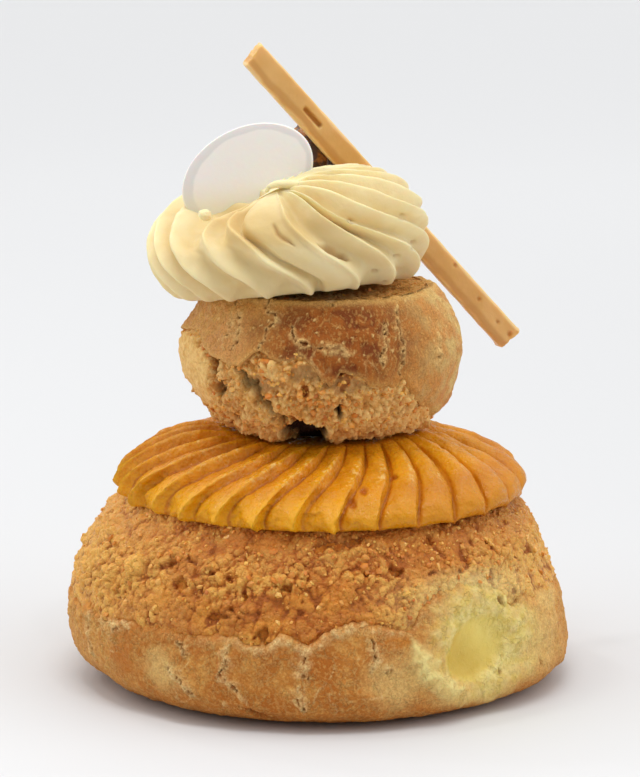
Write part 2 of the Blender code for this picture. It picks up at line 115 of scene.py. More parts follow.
CRUST_HOLES = ((-124.0, 20.1, (1.2, 0.9), 1.0), (-112.0, 16.5, (1.8, 0.4), 0.7),
               (-101.7, 14.3, (0.6, 1.3), 1.0), (-128.0, 22.5, (0.8, 0.5), 0.7),
               (-107.0, 19.3, (0.5, 0.5), 0.8), (-109.5, 17.8, (0.4, 0.4), 0.8),
               (-97.0, 21.0, (0.7, 0.6), 0.8), (-70.0, 22.5, (0.9, 0.5), 0.7),
               (-58.0, 26.0, (0.6, 0.6), 0.7), (-143.0, 17.5, (0.8, 0.6), 0.7))
TOFFEE_PLACES = ((-120.0, 16.6, (6.5, 2.6)), (-84.0, 17.5, (6.5, 2.2)), (-97.0, 16.5, (4.0, 1.6)))
CRUST_LUMPS = ((-139.5, 21.4, (2.3, 1.3)),)
CRUST_LEDGE = ((-90.5, 25.6), (-87.0, 26.4), (-82.0, 26.3), (-77.5, 26.9))

# Collar: a cream cap over the large choux, with slanting flutes and a toothed rim
COLLAR_RADIUS = 31.0 * MM
COLLAR_RIM = 29.3 * MM        # height of the rim's widest line
COLLAR_TOP = 38.8 * MM
COLLAR_POWERS = (1.92, 1.78)
COLLAR_UNDERSIDE_RADIUS = 28.9 * MM
COLLAR_AIR = 0.42 * MM        # between the collar's underside and the large choux
FLUTES = 32
FLUTE_DEPTH = 1.5 * MM
FLUTE_SWIRL = math.radians(38)    # turn of a flute from the rim to the middle
FLUTE_CREST = 20 / 24         # place of the sharp crest across a flute
FLUTE_START = math.radians(8.4)
FLUTE_MEAN = 0.78                 # part of a flute's height below the plain surface
RIM_TOOTH = 2.0 * MM
COLLAR_TEARS = ((-77, 27.0, (0.5, 1.0)), (-81, 29.0, (0.5, 1.0)), (-118, 20.5, (0.5, 0.8)),
                (-64, 24.0, (0.4, 0.9)))    # degrees, radius in mm and half sizes
TOOTHED_SIDE = math.radians(-135)
COLLAR_X = 0.6 * MM
COLLAR_LIFT = 0.6 * MM

# Small choux: baked flat on one side and stood on its head, so the flat side is on top
SMALL_X = 0.45 * MM
SMALL_RADIUS = 21.2 * MM
SMALL_WIDEST = 50.5 * MM
SMALL_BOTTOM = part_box("small_choux")[0].z
SMALL_BOTTOM_RADIUS = 11.6 * MM
SMALL_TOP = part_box("small_choux")[1].z
SMALL_TOP_RADIUS = 16.9 * MM
SMALL_SIDE_POWERS = (1.58, 1.37)
SMALL_UNDER_POWERS = (2.46, 1.91)
SMALL_SLACK = 0.9 * MM
SEAT_HEIGHT = SMALL_BOTTOM - 0.3 * MM
SEAT_RADIUS = 15.5 * MM

# Marks on the small choux, in degrees round it and millimetres up
SMALL_STRETCH = (SMALL_RADIUS / MM * math.pi / 180, 1)
TEAR_EDGE_PLACES = ((0, 38.5), (40, 40.5), (80, 45.5), (120, 48.0), (180, 52.5), (204, 53.5),
                    (217, 51.3), (229, 50.1), (237, 49.8), (245, 52.2), (250, 51.0), (258, 50.6),
                    (263, 51.6), (266, 50.4), (270, 48.9), (274, 47.4), (278, 49.2), (286, 48.5),
                    (291, 47.1), (302, 46.7), (305, 47.6), (313, 45.0), (325, 42.0), (340, 39.4),
                    (360, 38.5))
SMALL_MARKS = (("flake", -163, 48.4, (7.8, 4.2), 0.12), ("flake", -158, 44.5, (5.0, 2.6), 0.15),
               ("chunk", -128, 44.6, (4.4, 5.0), 0.15), ("chunk", -119, 41.2, (4.6, 3.2), 0.15),
               ("chunk", -106.5, 47.6, (3.0, 1.5), 0.3), ("grey", -112.5, 47.4, (2.2, 1.1), 0.3),
               ("grey", -95.5, 48.9, (2.3, 1.3), 0.3), ("grey", -78, 47.3, (3.6, 0.9), 0.3),
               ("hole", -98, 38.9, (4.3, 2.3), 0.2), ("hole", -81.5, 43.4, (0.8, 0.8), 0.3),
               ("hole", -81.8, 49.2, (0.7, 0.5), 0.4))
CREVICES = (((-146, 53.8), (-142, 52.1), (-139, 50.2), (-137, 48.4), (-136, 46.2), (-140, 43.5)),
            ((-125, 49.4), (-121, 47.8), (-116, 45.4), (-112, 43.4), (-105, 40.8)))
SKIN_CRACKS = (((-114, 59.8), (-115, 58.0), (-109.5, 57.0), (-111, 55.4), (-114, 53.2), (-115, 52.0)),
               ((-102.5, 55.6), (-98.5, 53.8), (-93, 53.0)), ((-85, 60.4), (-84, 58.6)),
               ((-52, 58.8), (-55, 55.6), (-54, 52.9), (-56, 48.5)),
               ((-91, 53.0), (-84, 52.8), (-77, 51.4)), ((-61, 56.0), (-64, 51.8), (-65, 49.5)),
               ((-135, 58.4), (-132.5, 55.6), (-133.5, 52.9)), ((-33, 54.5), (-33, 51.0), (-36, 48.0)),
               ((-129, 57.5), (-127, 54.5), (-128, 51.5)), ((100, 58), (103, 55), (99, 51)),
               ((150, 59), (147, 56), (149, 53)), ((45, 57), (42, 53), (45, 49)))

# Rosette: a ring of cream piped round and up to a hooked peak, leaning to the left
ROSETTE_CENTRE = np.array((-3.8 * MM, 0.0, 59.3 * MM))
ROSETTE_LEAN = math.radians(-7)
ROSETTE_RADIUS = 20.6 * MM
ROSETTE_FOOT = 15.4 * MM
ROSETTE_WIDEST = 7.2 * MM     # heights here are above the rosette's own foot
ROSETTE_CREST = 16.3 * MM
ROSETTE_CREST_RADIUS = 9.5 * MM
ROSETTE_SIDE_POWERS = (1.9, 1.9)
LEFT_DROOP = 1.5 * MM
FOOT_RISE = 0.15 * MM
RIGHT_LIFT = 0.9 * MM
DIP_ANGLE = math.radians(-132)
DIP_HALF_WIDTH = math.radians(32)
DIP_DEPTH = 3.6 * MM
RIDGE_HEIGHT = 2.3 * MM
CREST_ROUND = 0.03            # above 0 rounds the crests
CREST_ANGLES = (-151, -134, -120, -101, -80, -57, -36, -10, 15, 38, 60, 81, 102, 122, 141,
                159, 176, 193)    # of the ridges' crests where they start, in degrees
BROAD_FACE = 4                    # after this crest the cream has a broad smooth face
RIDGE_GATHER = np.array((-0.3 * MM, -10.5 * MM))    # the ridges run together here
GATHER = 0.66                     # the part of the way up that takes them there
MOST_SWEEP = 140                  # degrees that the left ridges turn on their way there
PEAK_RISE = 0.2 * MM
BACK_DROP = 1.3 * MM
CREAM_PITS = ((4.8, 70.9, 0.4), (12.6, 70.7, 0.45), (14.2, 66.0, 0.4), (11.7, 64.9, 0.5),
              (8.4, 63.0, 0.5), (9.9, 61.2, 0.35))    # x, height and half size
TIP_PLACES = ((-1.0, -9.6, 74.1), (-2.8, -11.0, 75.2), (-4.6, -12.0, 75.7), (-6.0, -12.5, 75.7),
              (-7.0, -12.7, 75.3), (-7.3, -12.7, 74.6))
CREAM_SLIT = ((0.2, 67.8), (2.2, 66.8), (4.6, 65.4))    # x and height
CREAM_TEAR = ((-6.3, 70.7), (-5.7, 69.6), (-4.6, 68.9), (-3.3, 68.0))
# Painted shadow of the disc and the peak on the cream below them: x, height, half sizes and strength
CREAM_SHADE = ((-8.0, 70.0, (9.5, 3.0), 0.75),)
HOOK_LEFT, HOOK_FRONT, HOOK_LOW = -2.5 * MM, -12.5 * MM, 70.5 * MM   # the peak is eased inside
EASED_PEAK = 2.0 * MM         # and within this of the place where its ridges meet
BEAD_PLACE = (-16.4, -10.5, 70.9)
BEAD_RADIUS = 0.9 * MM

# White disc: a thin oval plate leaning back, its lower edge sunk in the cream
DISC_HALF_LENGTH = 10.3 * MM
DISC_HALF_WIDTH = 7.2 * MM
DISC_THICKNESS = 1.3 * MM
DISC_SLOPE = math.radians(27)
DISC_LEAN = math.radians(10)
DISC_YAW = math.radians(-4)

# Caramel stick: a straight blond bar laid across the back of the rosette
STICK_UPPER_END = Vector((-10.0 * MM, 5.4 * MM, 93.6 * MM))
STICK_LOWER_END = Vector((30.0 * MM, 17.2 * MM, 48.1 * MM))
STICK_WIDTH = 4.1 * MM
STICK_THICKNESS = 3.0 * MM
STICK_ROLL = math.radians(8)
STICK_BREAK = 0.7 * MM
STICK_CORNERS = 7.0           # the power of its superellipse section
STICK_SLIT = (13.6 * MM, 1.6 * MM)    # below the top end, and half its length
STICK_PITS = ((46.4, 1.3, 0.5), (53.2, 0.5, 0.45), (58.0, 0.3, 0.4), (60.9, 0.4, 0.6))
# below the top end, right of the middle and size, in millimetres

# Dark nut: an angular caramelised lump pushed into the cream behind the disc
NUT_HALF_SIZES = np.array((5.4 * MM, 3.8 * MM, 6.4 * MM))
NUT_SIDES = 7
NUT_SIDE_TURN = math.radians(137)
NUT_CHOP = 0.84

# Studio; azimuth 0 is in front and -90 to the left
SUNS = (("left", -80, 42, 1.22), ("right", 76, 44, 1.5), ("behind", 172, 60, 1.0))
# the wide lights: name, azimuth and elevation in degrees, and share of the strength
SPARKLES = ((-118, 43, 0.12), (-140, 45, 0.10), (-100, 72, 0.12), (32, 68, 0.10))
# the small lights: azimuth and elevation in degrees, and watts
SOFTBOX_PLACE = (-12, 78)
SOFTBOX_SIZE = (0.26, 0.14)
FLOOR_SHARES = (0.91, 1.10)   # brightness of the floor under the pastry and far behind it


def box_centre(node):
    low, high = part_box(node)
    return (low + high) / 2


# Shaping

def smooth(value, low, high):
    """0 below low, 1 above high, and an even S between."""
    t = np.clip((value - low) / (high - low), 0.0, 1.0)
    return t * t * (3 - 2 * t)


def bell(value, centre, half_width):
    """1 at the centre, fading over the half width."""
    return np.exp(-((value - centre) / half_width) ** 2)


def turn_from(angle, centre):
    """The signed angle from centre to angle, the short way round."""
    return (angle - centre + math.pi) % math.tau - math.pi


def at_angle(angle, degrees, half_degrees):
    """1 on one side of the pastry, fading over the half width."""
    return bell(turn_from(angle, math.radians(degrees)), 0.0, math.radians(half_degrees))


def ripple(points, size, seed=0, octaves=1):
    """Soft noise, about -1 to 1, with hills about one size apart."""
    places = (points / size + seed * 17.31).tolist()
    if octaves == 1:
        return np.array([noise.noise(place) for place in places])
    return np.array([noise.fractal(place, 1.0, 2.0, octaves) for place in places])


def bent(points, size, reach, seed):
    """The points shifted about by soft noise, so that what is laid on them wanders."""
    return points + reach * np.column_stack([ripple(points, size, seed + part) for part in range(3)])


def billow(points, size, seed, strengths=(0.5, 0.3, 0.2)):
    """Rounded lumps with creases between them, each of the strengths half the size before."""
    total = -0.35 * sum(strengths)
    for octave, strength in enumerate(strengths):
        total = total + strength * 2.4 * np.abs(ripple(points, size * 0.5 ** octave, seed + octave))
    return total


def crinkle(points, size, width, seed):
    """1 along thin wandering creases, fading over the width, 0 elsewhere."""
    return 1 - smooth(np.abs(ripple(points, size, seed, 2)), 0.0, width)


def wandering(place, points, size, seeds, octaves, reach):
    """Places in two numbers, shifted by soft noise over the points, up to the reach."""
    return place + np.column_stack([ripple(points, size, seed, octaves) for seed in seeds]) * reach


def score(place, half_width, *path, stretch=(1, 1)):
    """1 along a line through places in millimetres, or in degrees and millimetres with the
    stretch that makes them even. It fades over the half width and tapers at both ends."""
    place = place * stretch
    marked = np.zeros(len(place))
    for step, (start, end) in enumerate(zip(path, path[1:])):
        start = np.multiply(start, stretch)
        run = np.multiply(end, stretch) - start
        share = np.clip((place - start) @ run / (run @ run), 0, 1)
        gap = np.hypot(*(place - start - share[:, None] * run).T)
        taper = 1 - 0.75 * np.abs(2 * (step + share) / (len(path) - 1) - 1) ** 3
        marked = np.maximum(marked, bell(gap, 0.0, half_width * taper))
    return marked


def scores(place, half_width, paths, stretch=(1, 1)):
    """1 along several lines."""
    return np.maximum.reduce([score(place, half_width, *path, stretch=stretch) for path in paths])


def spot(place, middle, half_sizes, stretch=(1, 1), edge=0.35):
    """1 inside an oval, 0 outside it, with a soft rim."""
    away = np.hypot(*((place - middle) * stretch / half_sizes).T)
    return 1 - smooth(away, 1 - edge, 1 + edge)


def spots(place, rows, stretch=(1, 1), edge=0.35):
    """Several spots; a row holds the two numbers of a middle, half sizes and maybe a strength."""
    marked = np.zeros(len(place))
    for x, y, half_sizes, *strength in rows:
        marked = np.maximum(marked, spot(place, (x, y), half_sizes, stretch, edge)
                            * (strength[0] if strength else 1))
    return marked


def grains(points, size, seed=0):
    """Grains about one size apart, in three lists: how far each point is from the middle
    of its grain, how far from the border with the next, and a number for the grain."""
    near, border, number = [], [], []
    for place in (points / size + seed * 7.31).tolist():
        gaps, middles = noise.voronoi(place)
        near.append(gaps[0])
        border.append(gaps[1] - gaps[0])
        number.append(sum(middles[0]) * 7.77 % 1.0)
    return np.array(near), np.array(border), np.array(number)


def quarter(start, end, powers, count=400):
    """A superellipse quarter from its widest point, start, to end, as (radius, height)."""
    turn = np.linspace(0, math.pi / 2, count)
    radius = end[0] + (start[0] - end[0]) * np.cos(turn).clip(0) ** (2 / powers[0])
    height = start[1] + (end[1] - start[1]) * np.sin(turn) ** (2 / powers[1])
    return np.column_stack((radius, height))


def quarter_radius(height, start, end, powers):
    """Radius of that quarter at a height."""
    sine = np.clip((height - start[1]) / (end[1] - start[1]), 0, 1) ** (powers[1] / 2)
    return end[0] + (start[0] - end[0]) * np.sqrt(1 - sine * sine) ** (2 / powers[0])


def quarter_height(radius, start, top, powers):
    """Height of a quarter that ends on the axis at top, at a radius."""
    cosine = np.clip(radius / start[0], 0, 1) ** (powers[0] / 2)
    return start[1] + (top - start[1]) * np.sqrt(1 - cosine * cosine) ** (2 / powers[1])


def evenly(curve, gap):
    """Points one gap apart along a curve of close points, its two ends kept."""
    steps = np.linalg.norm(np.diff(curve, axis=0), axis=1)
    passed = np.concatenate(([0.0], np.cumsum(steps)))
    wanted = np.linspace(0, passed[-1], max(2, round(passed[-1] / gap) + 1))
    return np.column_stack([np.interp(wanted, passed, curve[:, i]) for i in (0, 1)])


def chain(*curves):
    """Curves joined end to end, without the points that they share."""
    points = [tuple(curves[0][0])]
    for curve in curves:
        for point in curve:
            if math.dist(point, points[-1]) > 10 * WELD:
                points.append(tuple(point))
    return points


def between(curve, low, high):
    """The part of a curve that lies between two heights."""
    return curve[(curve[:, 1] >= low) & (curve[:, 1] <= high)]


def polar(angle, radius, height):
    return np.column_stack((radius * np.cos(angle), radius * np.sin(angle), height))


def denser_in_front(angle):
    """The same turn with its steps smaller in front and larger behind."""
    return angle - 0.3 * np.cos(angle)


def read_points(mesh):
    points = np.empty(len(mesh.vertices) * 3)
    mesh.vertices.foreach_get("co", points)
    return points.reshape(-1, 3)


def write_points(mesh, points):
    mesh.vertices.foreach_set("co", points.astype(np.float32).ravel())
    mesh.update()


def read_normals(mesh):
    normals = np.empty(len(mesh.vertices) * 3)
    mesh.vertex_normals.foreach_get("vector", normals)
    return normals.reshape(-1, 3)


def keep(mesh, **layers):
    """Store one number for each vertex under each name, for the materials."""
    for name, values in layers.items():
        layer = mesh.attributes.new(name, "FLOAT", "POINT")
        layer.data.foreach_set("value", np.asarray(values, dtype=np.float32))


def read_layer(mesh, name):
    values = np.empty(len(mesh.vertices))
    mesh.attributes[name].data.foreach_get("value", values)
    return values


def turned(name, outline, steps, closed=False):
    """A mesh spun from an outline that is closed, or runs from the axis to the axis.

    One wedge is spun and then repeated round. The layer "passed" holds the place along
    the outline, from 0 to 1.
    """
    bm = bmesh.new()
    layer = bm.verts.layers.float.new("passed")
    points = [bm.verts.new((radius, 0.0, height)) for radius, height in outline]
    for place, point in enumerate(points):
        point[layer] = place / (len(points) - 1)
    edges = [bm.edges.new(pair) for pair in zip(points, points[1:])]
    if closed:
        edges.append(bm.edges.new((points[-1], points[0])))
    about = {"cent": (0, 0, 0), "axis": (0, 0, 1), "dvec": (0, 0, 0)}
    wedge = math.tau / WEDGES
    bmesh.ops.spin(bm, geom=points + edges, angle=wedge, steps=round(steps / WEDGES), **about)
    bmesh.ops.spin(bm, geom=bm.verts[:] + bm.edges[:] + bm.faces[:], use_duplicate=True,
                   angle=math.tau - wedge, steps=WEDGES - 1, **about)
    bmesh.ops.remove_doubles(bm, verts=bm.verts[:], dist=WELD)
    bmesh.ops.recalc_face_normals(bm, faces=bm.faces[:])
    mesh = bpy.data.meshes.new(name)
    bm.to_mesh(mesh)
    bm.free()
    return mesh


def cylinder_places(mesh):
    """Angle, radius, height and place along the outline, for each vertex."""
    x, y, height = read_points(mesh).T
    return np.arctan2(y, x), np.hypot(x, y), height, read_layer(mesh, "passed")


def ball(name, subdivisions, radius):
    bm = bmesh.new()
    bmesh.ops.create_icosphere(bm, subdivisions=subdivisions, radius=radius)
    mesh = bpy.data.meshes.new(name)
    bm.to_mesh(mesh)
    bm.free()
    return mesh


def push(mesh, distance):
    """Move every vertex out along its normal."""
    write_points(mesh, read_points(mesh) + read_normals(mesh) * distance[:, None])


def add_piece(mesh, finish, slot, *nodes):
    """Link a finished mesh as a piece of the pastry that may stand for solid nodes."""
    mesh.shade_smooth()
    mesh.materials.append(finish)
    piece = bpy.data.objects.new(mesh.name, mesh)
    bpy.context.scene.collection.objects.link(piece)
    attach(piece, BODY)
    if nodes:
        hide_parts(*nodes)
    return piece


# Materials

def add(tree, kind, links=None, **settings):
    """Add a node; links maps its inputs to sockets or to plain values."""
    made = tree.nodes.new(kind)
    for key, value in settings.items():
        setattr(made, key, value)
    for key, value in (links or {}).items():
        if isinstance(value, bpy.types.NodeSocket):
            tree.links.new(value, made.inputs[key])
        else:
            made.inputs[key].default_value = value
    return made


def layer(tree, name):
    """The number kept on the piece under that name."""
    return add(tree, "ShaderNodeAttribute", attribute_name=name).outputs["Fac"]


def speckle(tree, size, detail=3.0, stretch=(1, 1, 1)):
    """Noise in the pastry's own space, with hills about one size apart."""
    places = add(tree, "ShaderNodeTexCoord").outputs["Object"]
    spread = [1 / (size * part) for part in stretch]
    mapped = add(tree, "ShaderNodeMapping", {"Vector": places, "Scale": spread})
    made = add(tree, "ShaderNodeTexNoise",
               {"Vector": mapped.outputs[0], "Scale": 1.0, "Detail": detail})
    return made.outputs["Fac"]


def threads(tree, size, width):
    """1 along thin wandering lines about one size apart, 0 between them."""
    away = maths(tree, "ABSOLUTE", maths(tree, "SUBTRACT", speckle(tree, size, 4), 0.5))
    return ranged(tree, away, 0.0, width, 1.0, 0.0)


def granules(tree, size):
    """Small grains about one size apart: how far from each one's middle, and its number."""
    places = add(tree, "ShaderNodeTexCoord").outputs["Object"]
    mapped = add(tree, "ShaderNodeMapping", {"Vector": places, "Scale": [1 / size] * 3})
    shifted = add(tree, "ShaderNodeTexNoise", {"Vector": mapped.outputs[0], "Scale": 0.8})
    joined = add(tree, "ShaderNodeVectorMath", {0: mapped.outputs[0], 1: shifted.outputs["Color"]},
                 operation="ADD")
    made = add(tree, "ShaderNodeTexVoronoi", {"Vector": joined.outputs[0], "Scale": 1.0})
    number = add(tree, "ShaderNodeSeparateColor", {0: made.outputs["Color"]}).outputs[0]
    return made.outputs["Distance"], number


def ranged(tree, value, low, high, first=0.0, last=1.0):
    """Stretch low to high over first to last, and hold it there."""
    made = add(tree, "ShaderNodeMapRange", {0: value, 1: low, 2: high, 3: first, 4: last},
               interpolation_type="SMOOTHSTEP")
    return made.outputs[0]


def patchy(tree, size, detail, *range_ends):
    """Patches about one size apart, with the values that ranged takes."""
    return ranged(tree, speckle(tree, size, detail), *range_ends)


def maths(tree, how, first, second=0.0):
    return add(tree, "ShaderNodeMath", {0: first, 1: second}, operation=how).outputs[0]


def plus(tree, first, second):
    return maths(tree, "ADD", first, second)


def times(tree, first, second):
    return maths(tree, "MULTIPLY", first, second)


def mixed(tree, share, first, second):
    """Two colours mixed; each is a socket or three numbers."""
    pair = [part if isinstance(part, bpy.types.NodeSocket) else (*part, 1.0)
            for part in (first, second)]
    made = add(tree, "ShaderNodeMix", {0: share, 6: pair[0], 7: pair[1]}, data_type="RGBA")
    return made.outputs[2]


def tinted(tree, colour, mask, share, shade):
    """The colour with up to that share of the shade, by the mask."""
    return mixed(tree, times(tree, mask, share), colour, shade)


def stained(tree, colour, *stains):
    """The colour tinted by layers of the piece: name, share and shade of each."""
    for name, share, shade in stains:
        colour = tinted(tree, colour, layer(tree, name), share, shade)
    return colour


def new_material(name, roughness, gloss=0.5, softness=0.0, reach=0.05, tints=(1.0, 0.2, 0.1)):
    """A Principled material, and its node tree and shader. Light goes into it by the softness,
    as far as the reach, and comes out in the tints."""
    made = bpy.data.materials.new(name)
    made.use_nodes = True
    shader = made.node_tree.nodes["Principled BSDF"]
    for name, value in (("Roughness", roughness), ("Specular IOR Level", gloss),
                        ("Subsurface Weight", softness), ("Subsurface Scale", reach),
                        ("Subsurface Radius", tints)):
        shader.inputs[name].default_value = value
    return made, made.node_tree, shader


def finish_with(tree, shader, colour, height=None, depth=0.0, roughness=None):
    """Wire a colour, a height in metres to depth, and a roughness to the shader."""
    tree.links.new(colour, shader.inputs["Base Color"])
    if height is not None:
        raised = add(tree, "ShaderNodeBump", {"Height": height, "Distance": depth,
                                              "Strength": 1.0})
        tree.links.new(raised.outputs[0], shader.inputs["Normal"])
    if roughness is not None:
        tree.links.new(roughness, shader.inputs["Roughness"])


# Large choux

def large_radius(height):
    """Radius of the large choux's even wall at a height."""
    widest = (LARGE_RADIUS, LARGE_WIDEST)
    belly = quarter_radius(height, widest, (LARGE_FOOT, 0.0), LARGE_BELLY_POWERS)
    dome = quarter_radius(height, widest, (0.0, LARGE_TOP), LARGE_DOME_POWERS)
    return np.where(height < LARGE_WIDEST, belly, dome)


def large_swell(angle, height):
    """How far the large choux's uneven wall stands out from its even one."""
    swell = 0.35 * MM * np.cos(3 * angle + 1.0) + 0.25 * MM * np.cos(5 * angle + 2.0)
    swell += 0.8 * MM * at_angle(angle, 180, 45)
    swell -= 1.6 * MM * at_angle(angle, -8, 38) * bell(height, 19 * MM, 5 * MM)
    foot = smooth(height, 0.0, LARGE_WIDEST / 2)
    return swell * foot * (1 - smooth(height, SHOULDER_LOW, SHOULDER_HIGH))


def large_roll(radius, height):
    """The underside's shift to the right, as the bun leans a little."""
    rolled = 1.3 * MM * (1 - smooth(height, 0.0, LARGE_WIDEST))
    return rolled * radius / LARGE_FOOT * smooth(radius, 0.0, LARGE_FOOT)


def dent_places(angle, height):
    """Distance from the dent's middle, 1 at its rim, and from the bowl's middle."""
    along = turn_from(angle, DENT_ANGLE) * LARGE_RADIUS
    up = height - DENT_HEIGHT
    length = along * math.cos(DENT_TILT) + up * math.sin(DENT_TILT)
    width = up * math.cos(DENT_TILT) - along * math.sin(DENT_TILT)
    dent = np.hypot(length / DENT_HALF_LENGTH, width / DENT_HALF_WIDTH)
    bowl = np.hypot(along, up) / BOWL_HALF_SIZE
    return dent, bowl


def dent_depth(angle, height):
    dent, bowl = dent_places(angle, height)
    return BOWL_DEPTH * (1 - smooth(bowl, 0.35, 1.15)) + DENT_DEPTH * (1 - smooth(dent, 0.3, 1.25))


def unrolled(angle, height):
    """Places on a wall as degrees round it and millimetres up."""
    return np.column_stack((np.degrees(turn_from(angle, -math.pi / 2)) - 90, height / MM))


def crust_edge(angle):
    """Height at which the crumbly crust ends, higher over the soft dent."""
    ring = polar(angle, np.full_like(angle, LARGE_RADIUS), np.full_like(angle, CRUST_EDGE))
    degrees, heights = np.transpose(CRUST_EDGE_PLACES)
    edge = np.interp(np.degrees(angle) % 360, degrees, heights) * MM
    return edge + 0.5 * MM * ripple(ring, 4 * MM, 3, 2) + 0.3 * MM * ripple(ring, 1.1 * MM, 11, 2)


def uneven_wall(gap):
    """The large choux's wall with its swells and dent. For each vertex it also gives the
    angle, the height, the place on the even wall and the height of the crust's edge."""
    widest = (LARGE_RADIUS, LARGE_WIDEST)
    belly = quarter(widest, (LARGE_FOOT, 0.0), LARGE_BELLY_POWERS)[::-1]
    dome = quarter(widest, (0.0, LARGE_TOP), LARGE_DOME_POWERS)
    base = np.array(((0.0, 0.0), (LARGE_FOOT, 0.0)))
    outline = chain(evenly(base, 12 * gap), evenly(belly, gap),
                    evenly(between(dome, 0, 25 * MM), gap),
                    evenly(between(dome, 25 * MM, LARGE_TOP), 12 * gap))
    mesh = turned("choux_shell", outline, round(math.tau * LARGE_RADIUS / gap))
    angle, radius, height, _ = cylinder_places(mesh)
    angle = denser_in_front(angle)
    edge = crust_edge(angle)
    plates = at_angle(angle, -90, 24)
    swell = large_swell(angle, height) * radius / LARGE_RADIUS
    swell -= 0.95 * MM * at_angle(angle, 180, 55) * bell(height, 5.5 * MM, 7 * MM)
    swell -= 1.4 * MM * at_angle(angle, -4, 60) * (1 - smooth(height, 0.5 * MM, 6.5 * MM))
    swell -= 1.0 * MM * smooth(height, edge - 0.9 * (1 - plates) * MM, edge + (2.0 - 1.3 * plates) * MM)
    swell -= dent_depth(angle, height)
    points = polar(angle, radius + swell, height)
    points[:, 0] += large_roll(radius, height)
    write_points(mesh, points)
    return mesh, angle, height, polar(angle, radius, height), edge


def make_choux_shell(sizes, colours):
    """The plain lower wall and underside of the large choux, a wrinkled cracked skin."""
    mesh, angle, height, plain, edge = uneven_wall(sizes.wall_gap)
    under = height < 0.02 * MM
    plates = at_angle(angle, -90, 24)
    loose = bent(plain, 4 * MM, 1.2 * MM, 5)
    place = unrolled(angle, height)
    wander = wandering(place, plain, 2.2 * MM, (61, 62), 2, (1.4, 0.7))
    near_place = wandering(place, plain, 1.3 * MM, (73, 74), 3, (1.3, 0.7))
    lower = 1 - smooth(height, edge - 1.0 * MM, edge + 1.5 * MM)
    dent, _ = dent_places(angle, height)
    beside = turn_from(angle, DENT_ANGLE) * LARGE_RADIUS
    patch = np.hypot(beside / np.where(beside > 0, 11.5 * MM, 9.5 * MM),
                     (height - DENT_HEIGHT - 1.2 * MM) / (9.0 * MM))
    pale = 1 - smooth(patch + 0.25 * ripple(plain * (1, 1, 1.6), 3 * MM, 63, 4), 0.45, 1.3)
    inside = 1 - smooth(dent + 0.10 * ripple(plain, 2.5 * MM, 64, 2), 0.74, 1.16)
    inside *= 1 - 0.4 * smooth(beside + height - DENT_HEIGHT, 2 * MM, 7 * MM)
    cracks = scores(near_place, 0.20, WALL_CRACKS, WALL_STRETCH)
    cracks = cracks * smooth(ripple(plain, 1.1 * MM, 76, 2), -0.35, 0.25)
    fringe = scores(near_place, 0.75, WALL_CRACKS, WALL_STRETCH)
    fine_cracks = crinkle(loose, 6 * MM, 0.03, 65) * smooth(ripple(plain, 8 * MM, 66), 0.05, 0.35)
    fine_cracks *= (1 - pale) * smooth(height, 1.5 * MM, 4 * MM)
    lip = bell(height, edge - 0.35 * MM, 0.75 * MM)
    lip *= plates * (0.35 + 0.65 * smooth(ripple(plain, 1.3 * MM, 71, 3), -0.35, 0.25))
    fringe = np.maximum(np.maximum(fringe, 0.7 * fine_cracks), lip) * (1 - cracks)
    fringe *= 0.55 + 0.45 * smooth(ripple(plain, 0.9 * MM, 75, 3), -0.4, 0.2)
    wrinkle = billow(loose * (1, 1, 0.8), 2.2 * MM, 67, (0.35, 0.3, 0.35))
    broad = ripple(loose, 7 * MM, 70, 3)
    rim = score(wander, 1.7, *DENT_RIM, stretch=WALL_STRETCH) * (1 - 0.6 * inside)
    rim *= 0.65 + 0.35 * smooth(ripple(plain, 1.1 * MM, 79, 2), -0.3, 0.3)
    soft = billow(loose, 2.2 * MM, 72, (0.4, 0.35, 0.25)) * pale * (1 - inside)
    relief = 0.16 * MM * wrinkle * (1 - 0.7 * pale) + 0.35 * MM * broad * (1 - inside)
    relief += 0.40 * MM * fringe + 0.75 * MM * rim + 0.40 * MM * soft
    crumbs = crumb_relief(plain, 0.62 * MM, 78)[0] * smooth(height, edge - 7 * MM, edge - 0.5 * MM)
    relief += 0.45 * MM * crumbs * (1 - plates) * (1 - pale) * (1 - 0.6 * at_angle(angle, -8, 32))
    relief += 0.12 * MM * ripple(plain, 0.9 * MM, 77, 3) * (1 - inside) - 0.5 * MM * inside
    relief -= 0.40 * MM * cracks + 0.08 * MM * fine_cracks
    holes = spots(wander, WALL_HOLES, WALL_STRETCH)
    relief -= 1.1 * MM * holes
    relief = np.where(under, 0.0, relief * smooth(height, 0.1 * MM, 1.5 * MM))
    push(mesh, relief)
    rest = read_points(mesh)
    rest[:, 2] = np.maximum(rest[:, 2], 0.0)
    write_points(mesh, rest)
    # Painted shade on the dent's lower left, below its step
    dent_low = inside * smooth(DENT_HEIGHT - height - beside, -6 * MM, 4 * MM)
    keep(mesh, crack=cracks, fringe=fringe, pale=pale, dent=inside, dent_low=dent_low, rim=rim,
         height=height / LARGE_TOP, hole=np.minimum(holes, 1),
         brown=spots(wander, BROWN_PLACES, WALL_STRETCH),
         orange=spots(wander, ORANGE_PLACES, WALL_STRETCH, 0.5),
         light=spots(wander, LIGHT_PLACES, WALL_STRETCH, 0.6),
         sides=1 - at_angle(angle, -95, 50), border=(1 - lower) * (1 - pale))
    return add_piece(mesh, choux_skin(colours), "baked_choux", "large_choux")


